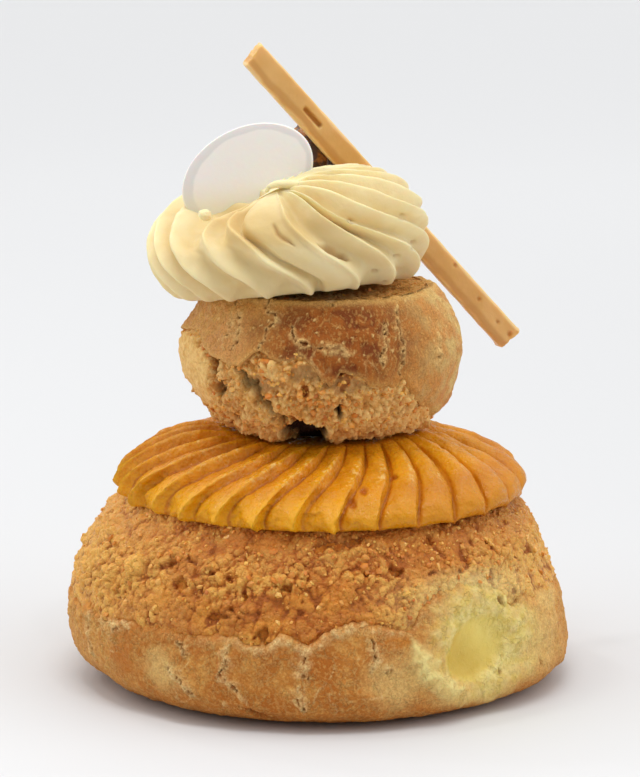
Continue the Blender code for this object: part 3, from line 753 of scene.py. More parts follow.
def choux_skin(colours):
    """Plain baked choux: orange-brown under fine pale threads, pale crumb by its cracks, painted shade
    in cracks and holes, and sides made paler partly by painted light.
    """
    made, tree, shader = new_material("choux_skin", 0.6, gloss=0.14, softness=0.08, reach=1 * MM)
    patches = patchy(tree, 6 * MM, 5, 0.40, 0.60)
    mottle = patchy(tree, 1.3 * MM, 5, 0.35, 0.65)
    grain = patchy(tree, 0.3 * MM, 4, 0.34, 0.66)
    net = times(tree, threads(tree, 0.9 * MM, 0.06),
                patchy(tree, 1.8 * MM, 3, 0.38, 0.6))
    colour = mixed(tree, patches, colours.choux_gold, colours.choux_brown)
    colour = tinted(tree, colour, mottle, 0.5, colours.choux_brown)
    # Paler at the sides than in front: partly the bake, partly painted light from the side lamps
    sides = mixed(tree, mottle, colours.choux_side, colours.choux_gold)
    colour = stained(tree, colour, ("sides", 0.62, sides))
    low = ranged(tree, layer(tree, "height"), 0.0, 0.19, 0.85, 0.0)
    colour = mixed(tree, low, colour, colours.choux_brown)
    # Paler spots, partly painted light round the dent
    colour = stained(tree, colour, ("light", 0.6, colours.choux_pale))
    fleck = patchy(tree, 0.55 * MM, 5, 0.49, 0.58)
    colour = tinted(tree, colour, fleck, 0.32, colours.choux_side)
    colour = tinted(tree, colour, net, 0.24, colours.choux_pale)
    colour = tinted(tree, colour, grain, 0.34, colours.choux_deep)
    moist = mixed(tree, mottle, colours.soft_green, colours.soft_pale)
    moist = tinted(tree, moist, threads(tree, 1.6 * MM, 0.05), 0.5, colours.soft_pale)
    crust = mixed(tree, mottle, colours.crust_amber, colours.crust_brown)
    # The dent's custard, with painted shade on its lower left
    custard = mixed(tree, layer(tree, "dent_low"), colours.dent_yellow, colours.dent_olive)
    colour = stained(tree, colour, ("border", 0.8, crust), ("brown", 0.6, colours.choux_brown),
                     ("pale", 0.88, moist), ("orange", 0.9, colours.crust_amber),
                     ("dent", 0.88, custard), ("rim", 0.9, colours.soft_pale))
    crumbs = times(tree, layer(tree, "fringe"), ranged(tree, grain, 0, 1, 1.0, 0.45))
    colour = mixed(tree, crumbs, colour, colours.choux_crumb)
    # Painted shade in the cracks and holes
    colour = stained(tree, colour, ("crack", 0.5, colours.crust_hollow),
                     ("hole", 0.85, colours.crust_hollow))
    rough = plus(tree, speckle(tree, 0.45 * MM, 6), times(tree, net, 0.35))
    rough = times(tree, rough, ranged(tree, layer(tree, "dent"), 0.2, 1.0, 1.0, 0.25))
    shine = ranged(tree, layer(tree, "dent"), 0.0, 1.0, 0.6, 0.33)
    finish_with(tree, shader, colour, rough, 0.32 * MM, shine)
    return made


def crumb_relief(points, size, seed):
    """Baked crumb, in sizes out of the surface: rounded lumps of several sizes and pits.
    It also gives how deep the pits are, from 0 to 1."""
    loose = bent(points, 2.6 * size, 0.75 * size, seed)
    near, border, number = grains(loose, 1.7 * size, seed + 6)
    dome = np.sqrt(np.clip(1 - (near / 0.85) ** 2, 0, 1)) * smooth(border, -0.1, 0.3)
    near, border, _ = grains(bent(loose, 1.2 * size, 0.3 * size, seed + 9), 0.85 * size, seed + 12)
    small = np.sqrt(np.clip(1 - (near / 0.85) ** 2, 0, 1))
    lumps = ripple(loose, 3.2 * size, seed + 3, 2)
    pit = smooth(ripple(loose, 2.6 * size, seed + 7, 2), 0.46, 0.66)
    share = 0.45 + 0.55 * number
    return 0.85 * dome * share + 0.42 * small + 0.35 * lumps - 0.55 - 0.6 * pit, pit


def make_crumb_crust(sizes, colours):
    """The crumbly crust over the large choux, from its ragged lower edge to the top."""
    gap = sizes.crust_gap
    low = CRUST_EDGE - 1 * MM
    wall = quarter((LARGE_RADIUS, LARGE_WIDEST), (0.0, LARGE_TOP), LARGE_DOME_POWERS)
    shown = evenly(between(wall, low, COVERED_HEIGHT), gap)
    hidden = evenly(between(wall, COVERED_HEIGHT, LARGE_TOP), 10 * gap)
    inner = between(wall, low, LARGE_TOP)[::-1] * (0.96, 1.0) - (0, 0.6 * MM)
    inner[0, 0] = 0.0
    inside = evenly(inner, 14 * gap)
    outline = chain(inside, shown, hidden)
    mesh = turned("crumb_crust", outline, round(math.tau * LARGE_RADIUS / gap))
    angle, radius, height, passed = cylinder_places(mesh)
    angle = denser_in_front(angle)
    outer = passed > (len(inside) - 0.5) / (len(outline) - 1)
    edge = crust_edge(angle)
    start = edge - 1.2 * MM
    reach = 27 * MM
    moved = start + (height - low) * (reach - start) / (reach - low)
    moved = np.where(height < reach, moved, height)
    scale = large_radius(moved) / np.maximum(large_radius(height), WELD)
    swell = large_swell(angle, moved) + CRUST_STEP
    swell -= dent_depth(angle, moved)
    swell -= 0.7 * MM * at_angle(angle, 180, 55) * bell(moved, 17 * MM, 8 * MM)
    above = moved - start
    plates = at_angle(angle, -90, 24)
    swell -= (0.8 + 0.35 * plates) * MM * (1 - smooth(above, 0.0, 2.6 * MM)) * outer
    places = polar(angle, radius * scale + swell * radius / LARGE_RADIUS, moved)
    write_points(mesh, places)

    relief, pit = crumb_relief(places, 0.78 * MM, 12)
    lumps = ripple(places, 4.5 * MM, 27, 3)
    wander = wandering(unrolled(angle, moved), places, 1.2 * MM, (28, 29), 2, (1.05, 0.35))
    # Moister and darker just under the collar: partly moisture, partly painted shade under its rim
    wet = smooth(moved, 20.5 * MM, 25.5 * MM) * (1 - 0.7 * at_angle(angle, 180, 60))
    soft = at_angle(angle, -50, 17) * (1 - smooth(moved, 19 * MM, 23 * MM))
    right = at_angle(angle, -8, 32)
    toffee = smooth(ripple(places, 8 * MM, 30, 3), -0.05, 0.3) * (1 - right)
    toffee = np.maximum(toffee, spots(wander, TOFFEE_PLACES, WALL_STRETCH, 0.5))
    strength = (1 - 0.3 * wet) * (1 - 0.6 * soft) * (1 - 0.45 * right) * (1 - 0.35 * toffee)
    strength = strength * (1.0 + 0.6 * lumps) * (0.45 + 0.55 * smooth(above, 1 * MM, 5 * MM))
    distance = 0.85 * MM * relief * strength + 0.40 * MM * lumps
    holes = spots(wander, CRUST_HOLES, WALL_STRETCH)
    ledge = score(wander, 0.8, *CRUST_LEDGE, stretch=WALL_STRETCH)
    raised = score(wander, 0.5, *np.add(CRUST_LEDGE, (0, -1.2)), stretch=WALL_STRETCH)
    lump = spots(wander, CRUST_LUMPS, WALL_STRETCH)
    distance += 0.5 * MM * lump + 0.35 * MM * raised - 1.2 * MM * holes - 0.8 * MM * ledge
    fade = smooth(above, 0.0, 1.0 * MM) * (1 - smooth(moved, 31 * MM, 33 * MM))
    push(mesh, np.where(outer, distance * fade, 0.0))
    # Paler on the left and right: partly the bake, partly painted light from the side lamps
    pale = at_angle(angle, 185, 42) + 0.85 * right
    keep(mesh, high=relief, pit=np.maximum(0.7 * pit, np.minimum(holes, 1)), wet=wet, soft=soft,
         lump=lump + 0.7 * raised, ledge=ledge, pale=np.minimum(pale, 1), toffee=toffee)
    wanted = np.where(outer & (above > 1.2 * MM) & (moved < COVERED_HEIGHT), 1 - 0.7 * soft, 0.0)
    wanted *= (1 - np.minimum(holes, 1)) * (1 + 0.8 * at_angle(angle, -90, 80)) * (1 - 0.6 * toffee)
    crust = add_piece(mesh, crumb_finish(colours), "baked_choux")
    scatter_bits("crust_bits", mesh, wanted, sizes.crust_bits, colours, "baked_choux", 18)
    return crust


def scatter_bits(name, mesh, wanted, count, colours, slot, seed):
    """Loose angular crumbs sunk into a piece, where wanted is above 0."""
    draw = np.random.default_rng(seed)
    chosen = draw.choice(len(wanted), count, p=wanted / wanted.sum())
    middles = read_points(mesh)[chosen]
    normals = read_normals(mesh)[chosen]
    bm = bmesh.new()
    bmesh.ops.create_icosphere(bm, subdivisions=1, radius=1.0)
    base = np.array([point.co for point in bm.verts])
    faces = np.array([[point.index for point in face.verts] for face in bm.faces])
    bm.free()
    size = 0.22 * MM * np.exp(0.45 * draw.normal(size=count)).clip(0.5, 2.4)
    turn = draw.normal(size=(count, 3, 3))
    turn, _ = np.linalg.qr(turn)
    shape = base[None] * draw.uniform(0.65, 1.35, (count, 12, 1))
    shape *= draw.uniform(0.5, 1.4, (count, 1, 3))
    shape = np.einsum("nij,nkj->nki", turn, shape) * size[:, None, None]
    middles = middles + normals * size[:, None] * draw.uniform(-0.7, 0.15, (count, 1))
    points = (shape + middles[:, None]).reshape(-1, 3)
    corners = (faces[None] + 12 * np.arange(count)[:, None, None]).reshape(-1, 3)
    bits = bpy.data.meshes.new(name)
    bits.from_pydata(points.tolist(), [], corners.tolist())
    bm = bmesh.new()
    bm.from_mesh(bits)
    bmesh.ops.recalc_face_normals(bm, faces=bm.faces[:])
    bm.to_mesh(bits)
    bm.free()
    keep(bits, tone=np.repeat(draw.random(count), 12),
         pale=np.repeat(read_layer(mesh, "pale")[chosen], 12))
    add_piece(bits, bpy.data.materials.get("bit_finish") or bit_finish(colours), slot)
    bits.shade_flat()


def bit_finish(colours):
    """Loose crumbs and sugar: straw to amber, some of them glassy."""
    made, tree, shader = new_material("bit_finish", 0.4, gloss=0.5, softness=0.2, reach=0.6 * MM)
    tone = layer(tree, "tone")
    colour = mixed(tree, ranged(tree, tone, 0.2, 1.0), colours.crust_amber, colours.crust_straw)
    colour = mixed(tree, ranged(tree, tone, 0.0, 0.15, 0.8, 0.0), colour, colours.crust_brown)
    # Paler where the piece below is paler; on the crust's sides that is partly painted light
    colour = stained(tree, colour, ("pale", 0.5, colours.crust_straw))
    shine = ranged(tree, tone, 0.6, 0.9, 0.5, 0.2)
    finish_with(tree, shader, colour, speckle(tree, 0.2 * MM, 3), 0.05 * MM, shine)
    return made


def crumb_finish(colours):
    """Crumbly crust: amber lumps topped with straw, partly painted light, smooth toffee between,
    red-brown painted shade in the hollows.
    """
    made, tree, shader = new_material("crumb_finish", 0.5, gloss=0.22, softness=0.15,
                                      reach=0.8 * MM)
    patches = patchy(tree, 5 * MM, 4, 0.40, 0.60)
    mottle = patchy(tree, 1.1 * MM, 4, 0.34, 0.66)
    away, number = granules(tree, 0.5 * MM)
    colour = mixed(tree, patches, colours.crust_amber, colours.crust_brown)
    # The paler sides are partly painted light
    sides = mixed(tree, mottle, colours.crust_straw, colours.choux_side)
    colour = stained(tree, colour, ("pale", 0.7, sides))
    # Straw on random grains, and on raised grains as painted light
    straw = plus(tree, times(tree, number, 0.35),
                  times(tree, layer(tree, "high"), 0.9))
    straw = ranged(tree, plus(tree, straw, times(tree, mottle, 0.35)), 0.05, 0.75)
    straw = times(tree, straw, ranged(tree, layer(tree, "toffee"), 0, 1, 0.72, 0.2))
    colour = mixed(tree, straw, colour, colours.crust_straw)
    # Painted shade in the hollows between grains
    hollow_share = ranged(tree, layer(tree, "high"), -0.55, 0.1, 0.9, 0.0)
    colour = mixed(tree, hollow_share, colour, colours.crust_hollow)
    # Moisture and painted shade under the collar; painted shade in the pits and the ledge
    colour = stained(tree, colour, ("wet", 0.5, colours.crust_wet), ("soft", 0.6, colours.soft_pale),
                     ("lump", 0.8, colours.crust_straw), ("pit", 0.6, colours.crust_hollow),
                     ("ledge", 0.8, colours.crust_hollow))
    rough = maths(tree, "SUBTRACT", speckle(tree, 0.4 * MM, 5), times(tree, away, 0.9))
    shine = ranged(tree, number, 0.4, 0.9, 0.55, 0.24)
    finish_with(tree, shader, colour, rough, 0.26 * MM, shine)
    return made


# Orange collar

def collar_height(radius):
    """Height of the collar's smooth upper surface, before its flutes."""
    return quarter_height(radius, (COLLAR_RADIUS, COLLAR_RIM), COLLAR_TOP, COLLAR_POWERS)


def large_top_height(radius):
    """Height of the large choux's even dome."""
    return quarter_height(radius, (LARGE_RADIUS, LARGE_WIDEST), LARGE_TOP, LARGE_DOME_POWERS)


def collar_outline(gap):
    """The collar's outline from its underside over the rim to the top, and the shares of it
    that are passed where the rim and the top begin."""
    under_radius = np.linspace(0, COLLAR_UNDERSIDE_RADIUS, 300)
    under = np.column_stack((under_radius, large_top_height(under_radius) + COLLAR_AIR))
    rim_point = np.array((COLLAR_RADIUS, COLLAR_RIM))
    turn = np.linspace(0, math.pi, 60)
    middle, half = (under[-1] + rim_point) / 2, (rim_point - under[-1]) / 2
    out = np.array((half[1], -half[0])) * 0.55
    edge = middle - half * np.cos(turn)[:, None] + out * np.sin(turn)[:, None]
    top_radius = COLLAR_RADIUS * np.cos(np.linspace(0, math.pi / 2, 400))
    top = np.column_stack((top_radius, collar_height(top_radius)))
    inner_top = top[top[:, 0] < SEAT_RADIUS - 3 * MM]
    outer_top = top[top[:, 0] >= SEAT_RADIUS - 3 * MM]
    parts = (evenly(under, 8 * gap), evenly(edge, gap), evenly(outer_top, gap),
             evenly(inner_top, 5 * gap))
    outline = chain(*parts)
    starts = (len(parts[0]) + len(parts[1]) - 1.5) / (len(outline) - 1)
    return outline, (len(parts[0]) - 0.5) / (len(outline) - 1), starts


def make_collar(sizes, colours):
    """The fluted cream cap between the buns, with a toothed rim on its left."""
    outline, below, starts = collar_outline(sizes.collar_gap)
    mesh = turned("fluted_collar", outline, FLUTES * sizes.flute_steps)
    angle, radius, height, passed = cylinder_places(mesh)
    on_top = passed > starts
    on_edge = (passed > below) & ~on_top
    part = (angle / math.tau * FLUTES) % 1.0
    index = np.floor(angle / math.tau * FLUTES).astype(int) % FLUTES
    draw = np.random.default_rng(5)
    strength, tooth_length, _ = draw.random((3, FLUTES))
    inward = 1 - radius / COLLAR_RADIUS
    uneven = 0.05 * np.sin(angle + 0.5) + 0.03 * np.sin(3 * angle + 2.0) + FLUTE_START
    turn = angle + FLUTE_SWIRL * inward.clip(0) + uneven
    toothed = smooth(np.cos(turn - TOOTHED_SIDE), 0.0, 0.85)
    slope = np.where(part < FLUTE_CREST, part / FLUTE_CREST, (1 - part) / (1 - FLUTE_CREST)) ** 1.15
    dome = np.sin(math.pi * part) ** 0.55
    profile = slope * toothed + dome * (1 - toothed)
    crest = profile * (0.8 + 0.4 * strength[index]) - FLUTE_MEAN - 0.3 * (1 - toothed)
    rim = bell(inward, 0.0, 0.13)
    ragged = 0.25 * ripple(polar(turn, radius, height), 1.3 * MM, 24, 2) * toothed
    tooth = RIM_TOOTH * (slope ** 2.2 - 0.38 + ragged) * (0.15 + 0.85 * toothed) * rim
    tooth *= 0.7 + 0.6 * tooth_length[index]
    rise = FLUTE_DEPTH * crest * smooth(radius, SEAT_RADIUS - 2 * MM, SEAT_RADIUS + 5 * MM)
    rise *= 1 - 0.4 * rim * toothed
    rise += COLLAR_LIFT * rim * at_angle(turn, 0, 50)
    rise += 2 * COLLAR_LIFT * bell(radius, 21 * MM, 7 * MM) * at_angle(turn, 180, 50)
    level = np.where(radius < SEAT_RADIUS, np.minimum(height, SEAT_HEIGHT), height)
    tooth -= 0.6 * MM * rim * at_angle(turn, 180, 50)
    upper = polar(turn, radius + tooth + 0.4 * rise * rim, level + rise - 0.45 * tooth)
    share = smooth(passed, below, starts)[:, None]
    lower = polar(angle + uneven, radius, height)
    points = np.where(on_top[:, None], upper, np.where(on_edge[:, None],
                      upper * share + lower * (1 - share), lower))
    points[:, 0] += COLLAR_X * smooth(radius, 0.0, SEAT_RADIUS)
    write_points(mesh, points)
    groove = 1 - smooth(part, 0.0, 0.12) + smooth(part, 0.95, 1.0)
    groove *= 1 - 0.65 * at_angle(turn, 0, 48)
    along = np.column_stack((turn * 26, radius / (5 * MM), np.zeros_like(radius)))
    streak = ripple(along, 1.0, 21, 2)
    fine = ripple(points, 0.8 * MM, 22, 3)
    covered = smooth(radius, SEAT_RADIUS - 2 * MM, SEAT_RADIUS + 2 * MM)
    tears = spots(np.column_stack((np.degrees(turn), radius / MM)), COLLAR_TEARS, (0.45, 1))
    distance = 0.12 * MM * streak + 0.07 * MM * fine + 0.22 * MM * ripple(points, 3 * MM, 23, 2)
    distance -= 0.30 * MM * groove * (1 - 0.4 * toothed) + 0.3 * MM * tears
    push(mesh, np.where(on_top, distance * covered, 0.0))
    # A moist band along the crests, for lower roughness and painted highlight flecks
    wet = bell(part, 0.76, 0.14) * smooth(radius, 18 * MM, 21 * MM)
    wet *= (1 - smooth(radius, 25 * MM, 28 * MM)) * at_angle(angle, -105, 75)
    # Yellower rim, and painted light on the upper right next to the small choux
    yellow = smooth(radius, 26.5 * MM, 31 * MM) * (0.3 + 0.7 * toothed)
    yellow += 0.6 * (1 - toothed) * (1 - smooth(radius, 24 * MM, 28 * MM))
    # Painted shade in the trough beside each crest on the toothed side, and on the outer band on the
    # right
    deep = toothed * bell(part, 0.25, 0.3)
    deep += 1.2 * (1 - toothed) * smooth(radius, 23 * MM, 28 * MM)
    # Painted shade in the grooves and tears, weaker on the right
    groove = np.minimum(groove * (0.6 + 0.4 * smooth(streak, -0.4, 0.4)) + tears, 1)
    keep(mesh, wet=wet, groove=groove, crest=profile * (0.5 + 0.5 * toothed), rim=yellow, deep=deep)
    return add_piece(mesh, orange_finish(colours), "orange_cream", "orange_collar")


def orange_finish(colours):
    """Moist orange cream: yellower rim, painted shade in its grooves and troughs, painted light on
    crests, upper right and as wet flecks.
    """
    made, tree, shader = new_material("orange_finish", 0.3, gloss=0.3, softness=0.2, reach=1.2 * MM,
                                      tints=(1.0, 0.4, 0.08))
    patches = patchy(tree, 4 * MM, 4, 0.38, 0.65)
    colour = mixed(tree, patches, colours.collar_orange, colours.collar_deep)
    # Painted shade in the troughs and on the right
    colour = stained(tree, colour, ("deep", 0.7, colours.collar_deep))
    # Yellower rim, with painted light on the crests and the upper right
    yellow = plus(tree, times(tree, layer(tree, "rim"), 0.55),
                   times(tree, ranged(tree, layer(tree, "crest"), 0.55, 1.0), 0.4))
    colour = mixed(tree, maths(tree, "MINIMUM", yellow, 0.85), colour, colours.collar_yellow)
    # Painted shade in the grooves
    colour = stained(tree, colour, ("groove", 0.75, colours.collar_groove))
    rough = plus(tree, speckle(tree, 0.45 * MM, 5), speckle(tree, 1.4 * MM, 2))
    wet = plus(tree, speckle(tree, 0.8 * MM, 4), times(tree, layer(tree, "wet"), 0.13))
    # Painted highlights: pale flecks along the wet crests
    glint = times(tree, layer(tree, "wet"), patchy(tree, 0.6 * MM, 4, 0.5, 0.6))
    colour = tinted(tree, colour, glint, 0.6, colours.choux_pale)
    shine = ranged(tree, wet, 0.46, 0.58, 0.48, 0.14)
    finish_with(tree, shader, colour, rough, 0.20 * MM, shine)
    return made


# Small choux

def small_radius(height):
    """Radius of the small choux's even wall at a height."""
    widest = (SMALL_RADIUS, SMALL_WIDEST)
    under = quarter_radius(height, widest, (SMALL_BOTTOM_RADIUS, SMALL_BOTTOM),
                           SMALL_UNDER_POWERS)
    side = quarter_radius(height, widest, (SMALL_TOP_RADIUS, SMALL_TOP), SMALL_SIDE_POWERS)
    return np.where(height < SMALL_WIDEST, under, side)


def small_outline():
    """The small choux's even wall in two parts, from its foot to its widest and on up."""
    widest = (SMALL_RADIUS, SMALL_WIDEST)
    under = quarter(widest, (SMALL_BOTTOM_RADIUS, SMALL_BOTTOM), SMALL_UNDER_POWERS)[::-1]
    return under, quarter(widest, (SMALL_TOP_RADIUS, SMALL_TOP), SMALL_SIDE_POWERS)


def small_swell(angle, height):
    """How far the small choux's uneven wall stands out from its even one."""
    swell = 0.25 * MM * np.cos(4 * angle + 0.7) * (1 - smooth(height, 54 * MM, 58 * MM))
    low = 1 - smooth(height, 42 * MM, 47 * MM)
    high = smooth(height, 52 * MM, 57 * MM)
    return swell - SMALL_SLACK * at_angle(angle, 180, 52) * (low + high)


def tear_edge(angle):
    """Height of the ragged edge where the small choux's brown skin ends."""
    ring = polar(angle, np.full_like(angle, SMALL_RADIUS), np.full_like(angle, SMALL_WIDEST))
    degrees, heights = np.transpose(TEAR_EDGE_PLACES)
    edge = np.interp(np.degrees(angle) % 360, degrees, heights) * MM
    return edge + 0.5 * MM * ripple(ring, 4 * MM, 31, 2) + 0.4 * MM * ripple(ring, 1.2 * MM, 32, 2)


def make_small_choux(sizes, colours):
    """The torn crumbly body of the small choux and its porous flat top."""
    gap = sizes.small_gap
    under, side = small_outline()
    base = np.array(((0.0, SMALL_BOTTOM), (SMALL_BOTTOM_RADIUS, SMALL_BOTTOM)))
    flat = np.array(((SMALL_TOP_RADIUS, SMALL_TOP), (8 * MM, SMALL_TOP)))
    middle = np.array(((8 * MM, SMALL_TOP), (0.0, SMALL_TOP)))
    outline = chain(evenly(base, 8 * gap), evenly(under, gap), evenly(side, gap),
                    evenly(flat, 1.3 * gap), evenly(middle, 8 * gap))
    mesh = turned("small_choux_crumb", outline, round(math.tau * SMALL_RADIUS / gap))
    angle, radius, height, _ = cylinder_places(mesh)
    angle = denser_in_front(angle)
    wall = smooth(radius, SMALL_BOTTOM_RADIUS - 1 * MM, SMALL_TOP_RADIUS)
    points = polar(angle, radius + small_swell(angle, height) * wall, height)
    points[:, 0] += SMALL_X
    write_points(mesh, points)

    on_top = (height > SMALL_TOP - 0.02 * MM) & (radius < SMALL_TOP_RADIUS + 0.01 * MM)
    wander = wandering(unrolled(angle, height), points, 2.0 * MM, (81, 82), 3, (3.0, 0.9))
    torn = 1 - smooth(height, tear_edge(angle) - 0.5 * MM, tear_edge(angle) + 1.0 * MM)
    relief, pit = crumb_relief(points, 0.72 * MM, 33)
    lump = billow(bent(points, 3 * MM, 0.8 * MM, 43), 3.0 * MM, 46, (0.6, 0.4))
    marks = {name: 0.0 for name in ("flake", "chunk", "grey", "hole")}
    for name, degrees, level, half_sizes, edge in SMALL_MARKS:
        marked = spot(wander, (degrees, level), half_sizes, SMALL_STRETCH, edge)
        marks[name] = np.maximum(marks[name], marked)
    crevice = scores(wander, 0.7, CREVICES, SMALL_STRETCH)
    crumbly = torn * (1 - 0.85 * marks["flake"]) * (1 - 0.6 * marks["grey"])
    distance = crumbly * (0.82 * MM * relief + 0.85 * MM * lump - 0.3 * MM)
    distance += 0.35 * MM * marks["flake"] + 0.35 * MM * marks["chunk"]
    distance -= 0.4 * MM * at_angle(angle, 180, 50)
    distance += 0.12 * MM * ripple(points, 1.5 * MM, 49, 3) * marks["flake"]
    distance -= 0.9 * MM * marks["grey"] + 1.9 * MM * marks["hole"] + 1.7 * MM * crevice
    distance -= (1 - np.maximum(torn, marks["flake"])) * 0.4 * MM
    top_relief = 0.35 * MM * ripple(points, 1.1 * MM, 37, 4) - 0.5 * MM * pit
    distance = np.where(on_top, top_relief - 0.2 * MM, distance)
    lifted = smooth(radius, 9 * MM, SMALL_BOTTOM_RADIUS + 1 * MM)
    push(mesh, distance * np.where(height < SMALL_WIDEST, lifted, 1.0))
    pale = np.minimum(marks["chunk"] + 0.6 * at_angle(angle, -10, 50), 1)
    keep(mesh, high=relief, pit=pit * (1 - marks["flake"]), flat=on_top,
         hole=np.maximum(marks["hole"], 0.7 * crevice), flake=marks["flake"], chunk=marks["chunk"],
         right=at_angle(angle, -20, 42), grey=marks["grey"], pale=pale,
         worn=smooth(points[:, 0], 2 * MM, 12 * MM))
    crumbs = crumbly * (1 - marks["flake"]) * (1 - marks["hole"]) * (1 - crevice)
    wanted = np.where(on_top, 0.12, crumbs)
    wanted *= smooth(height, 39 * MM, 41 * MM) * (0.5 + at_angle(angle, -90, 90))
    body = add_piece(mesh, torn_finish(colours), "browned_choux", "small_choux")
    scatter_bits("torn_bits", mesh, wanted, sizes.torn_bits, colours, "browned_choux", 38)
    return body


def torn_finish(colours):
    """Torn choux crumb: tan lumps, lit tops painted paler, greyer inside, painted shade in hollows and
    holes, and a porous grey-brown flat top.
    """
    made, tree, shader = new_material("torn_finish", 0.6, gloss=0.14, softness=0.12, reach=0.8 * MM)
    patches = patchy(tree, 4 * MM, 4, 0.38, 0.62)
    mottle = patchy(tree, 0.8 * MM, 5, 0.32, 0.68)
    away, number = granules(tree, 0.45 * MM)
    colour = mixed(tree, patches, colours.crumb_tan, colours.crumb_brown)
    # Straw on random grains, and on raised lumps as painted light
    straw = plus(tree, times(tree, number, 0.4),
                  times(tree, layer(tree, "high"), 0.8))
    straw = ranged(tree, plus(tree, straw, times(tree, mottle, 0.4)), 0.1, 0.9)
    colour = tinted(tree, colour, straw, 0.75, colours.crumb_straw)
    # Painted shade in the hollows between lumps
    hollow_share = ranged(tree, layer(tree, "high"), -0.75, -0.2, 0.8, 0.0)
    colour = mixed(tree, hollow_share, colour, colours.crust_hollow)
    top = mixed(tree, mottle, colours.flat_grey, colours.flat_brown)
    # Tanner towards the right of the flat top
    top = stained(tree, top, ("worn", 0.6, colours.crumb_tan))
    smooth_gold = mixed(tree, mottle, colours.flake_gold, colours.crumb_straw)
    smooth_gold = tinted(tree, smooth_gold, threads(tree, 1.2 * MM, 0.05), 0.3, colours.crumb_brown)
    # The pits and holes at the end of this list get painted shade
    colour = stained(tree, colour, ("right", 0.55, colours.crumb_straw), ("flake", 0.95, smooth_gold),
                     ("chunk", 0.15, colours.crumb_straw), ("grey", 0.8, colours.crumb_grey),
                     ("flat", 1.0, top), ("pit", 0.6, colours.crust_hollow),
                     ("hole", 1.0, colours.hole_dark))
    rough = maths(tree, "SUBTRACT", speckle(tree, 0.4 * MM, 6), times(tree, away, 0.6))
    finish_with(tree, shader, colour, rough, 0.24 * MM)
    return made


def make_browned_skin(sizes, colours):
    """The smooth dark skin round the upper part of the small choux, peeling at its edge."""
    gap = sizes.small_gap
    low = 46 * MM
    under, side = small_outline()
    wall = np.vstack((between(under, low, SMALL_WIDEST), side[1:]))
    inner_top = np.array((SMALL_TOP_RADIUS - 0.9 * MM, SMALL_TOP - 0.5 * MM))
    inside = wall - (0.9 * MM, 0.0)
    shown = evenly(wall, gap)
    hidden = evenly(inside[::-1], 6 * gap)
    lip = np.array((shown[-1], inner_top + (0.1 * MM, 0.3 * MM), hidden[0]))
    outline = chain(shown, evenly(lip, gap), hidden)
    steps = round(math.tau * SMALL_RADIUS / gap)
    mesh = turned("browned_skin", outline, steps, closed=True)
    angle, radius, height, passed = cylinder_places(mesh)
    angle = denser_in_front(angle)
    outer = passed < (len(shown) - 0.5) / (len(outline) - 1)
    edge = tear_edge(angle)
    reach = 57.5 * MM
    moved = edge + (height - low) * (reach - edge) / (reach - low)
    moved = np.where(height < reach, moved, height)
    shift = small_radius(moved) - small_radius(height)
    above = moved - edge
    ring = polar(angle, np.full_like(angle, SMALL_RADIUS), np.full_like(angle, SMALL_WIDEST))
    right = at_angle(angle, -5, 45)
    peel = 0.8 * MM * bell(above, 0.2 * MM, 1.4 * MM) * smooth(ripple(ring, 5 * MM, 41), -0.4, 0.4)
    swell = small_swell(angle, moved) + peel * (1 - right)
    swell -= 0.5 * MM * at_angle(angle, 180, 45) * (1 - smooth(moved, 55 * MM, 58 * MM))
    swell -= (0.25 + 0.5 * right) * MM * (1 - smooth(above, 0, (0.3 + 1.5 * right) * MM)) * outer
    notch = 0.5 * MM * np.maximum(at_angle(angle, -84.5, 2), 0.7 * at_angle(angle, -60, 2.5))
    notch = notch + 0.25 * MM * ripple(ring, 4 * MM, 44, 2)
    top = smooth(moved, 58 * MM, SMALL_TOP)
    points = polar(angle, radius + shift + swell, moved - notch * top)
    points[:, 0] += SMALL_X
    write_points(mesh, points)
    loose = bent(points, 3 * MM, 0.8 * MM, 42)
    wander = wandering(unrolled(angle, moved), points, 1.4 * MM, (83, 84), 3, (1.8, 0.6))
    cracks = scores(wander, 0.16, SKIN_CRACKS, SMALL_STRETCH)
    cracks = cracks * smooth(ripple(points, 0.9 * MM, 92, 2), -0.25, 0.2)
    fringe = scores(wander, 0.55, SKIN_CRACKS, SMALL_STRETCH)
    creased = smooth(ripple(points, 5 * MM, 87), 0.0, 0.35)
    thin, seams = (crinkle(loose * (1, 1, 0.7), 4.5 * MM, width, 86) * creased
                   for width in (0.022, 0.07))
    fringe = np.maximum(fringe, 0.6 * seams) * (1 - cracks)
    fringe *= 0.4 + 0.6 * smooth(ripple(points, 0.7 * MM, 91, 2), -0.3, 0.2)
    streak = ripple(loose * (1, 1, 0.3), 0.9 * MM, 88, 3)
    blister = ripple(loose, 2.4 * MM, 48, 4)
    specks = smooth(ripple(points, 0.7 * MM, 90), 0.52, 0.62) * smooth(moved, 50 * MM, 52 * MM)
    distance = 0.09 * MM * streak + 0.26 * MM * blister - 0.50 * MM * cracks - 0.10 * MM * thin
    distance += 0.14 * MM * specks + 0.28 * MM * fringe
    distance += 0.10 * MM * ripple(points, 0.7 * MM, 93, 2)
    push(mesh, np.where(outer, distance * smooth(above, 0, 0.5 * MM), 0.0))
    rim = bell(moved, SMALL_TOP - 0.15 * MM, 0.5 * MM)
    rim = np.maximum(rim, 0.7 * bell(above, 0.1 * MM, 0.5 * MM) * (1 - right))
    moist = spot(wander, (-132, 53.2), (4.2, 3.0), SMALL_STRETCH, 0.5)
    keep(mesh, crack=np.maximum(cracks, 0.4 * thin), rim=rim, speck=specks, fringe=fringe, moist=moist,
         blister=blister, dark=spot(wander, (-82, 53.8), (34, 6.5), edge=0.5),
         right=at_angle(angle, -8, 40), left=at_angle(angle, -152, 42))
    return add_piece(mesh, browned_finish(colours), "browned_choux")


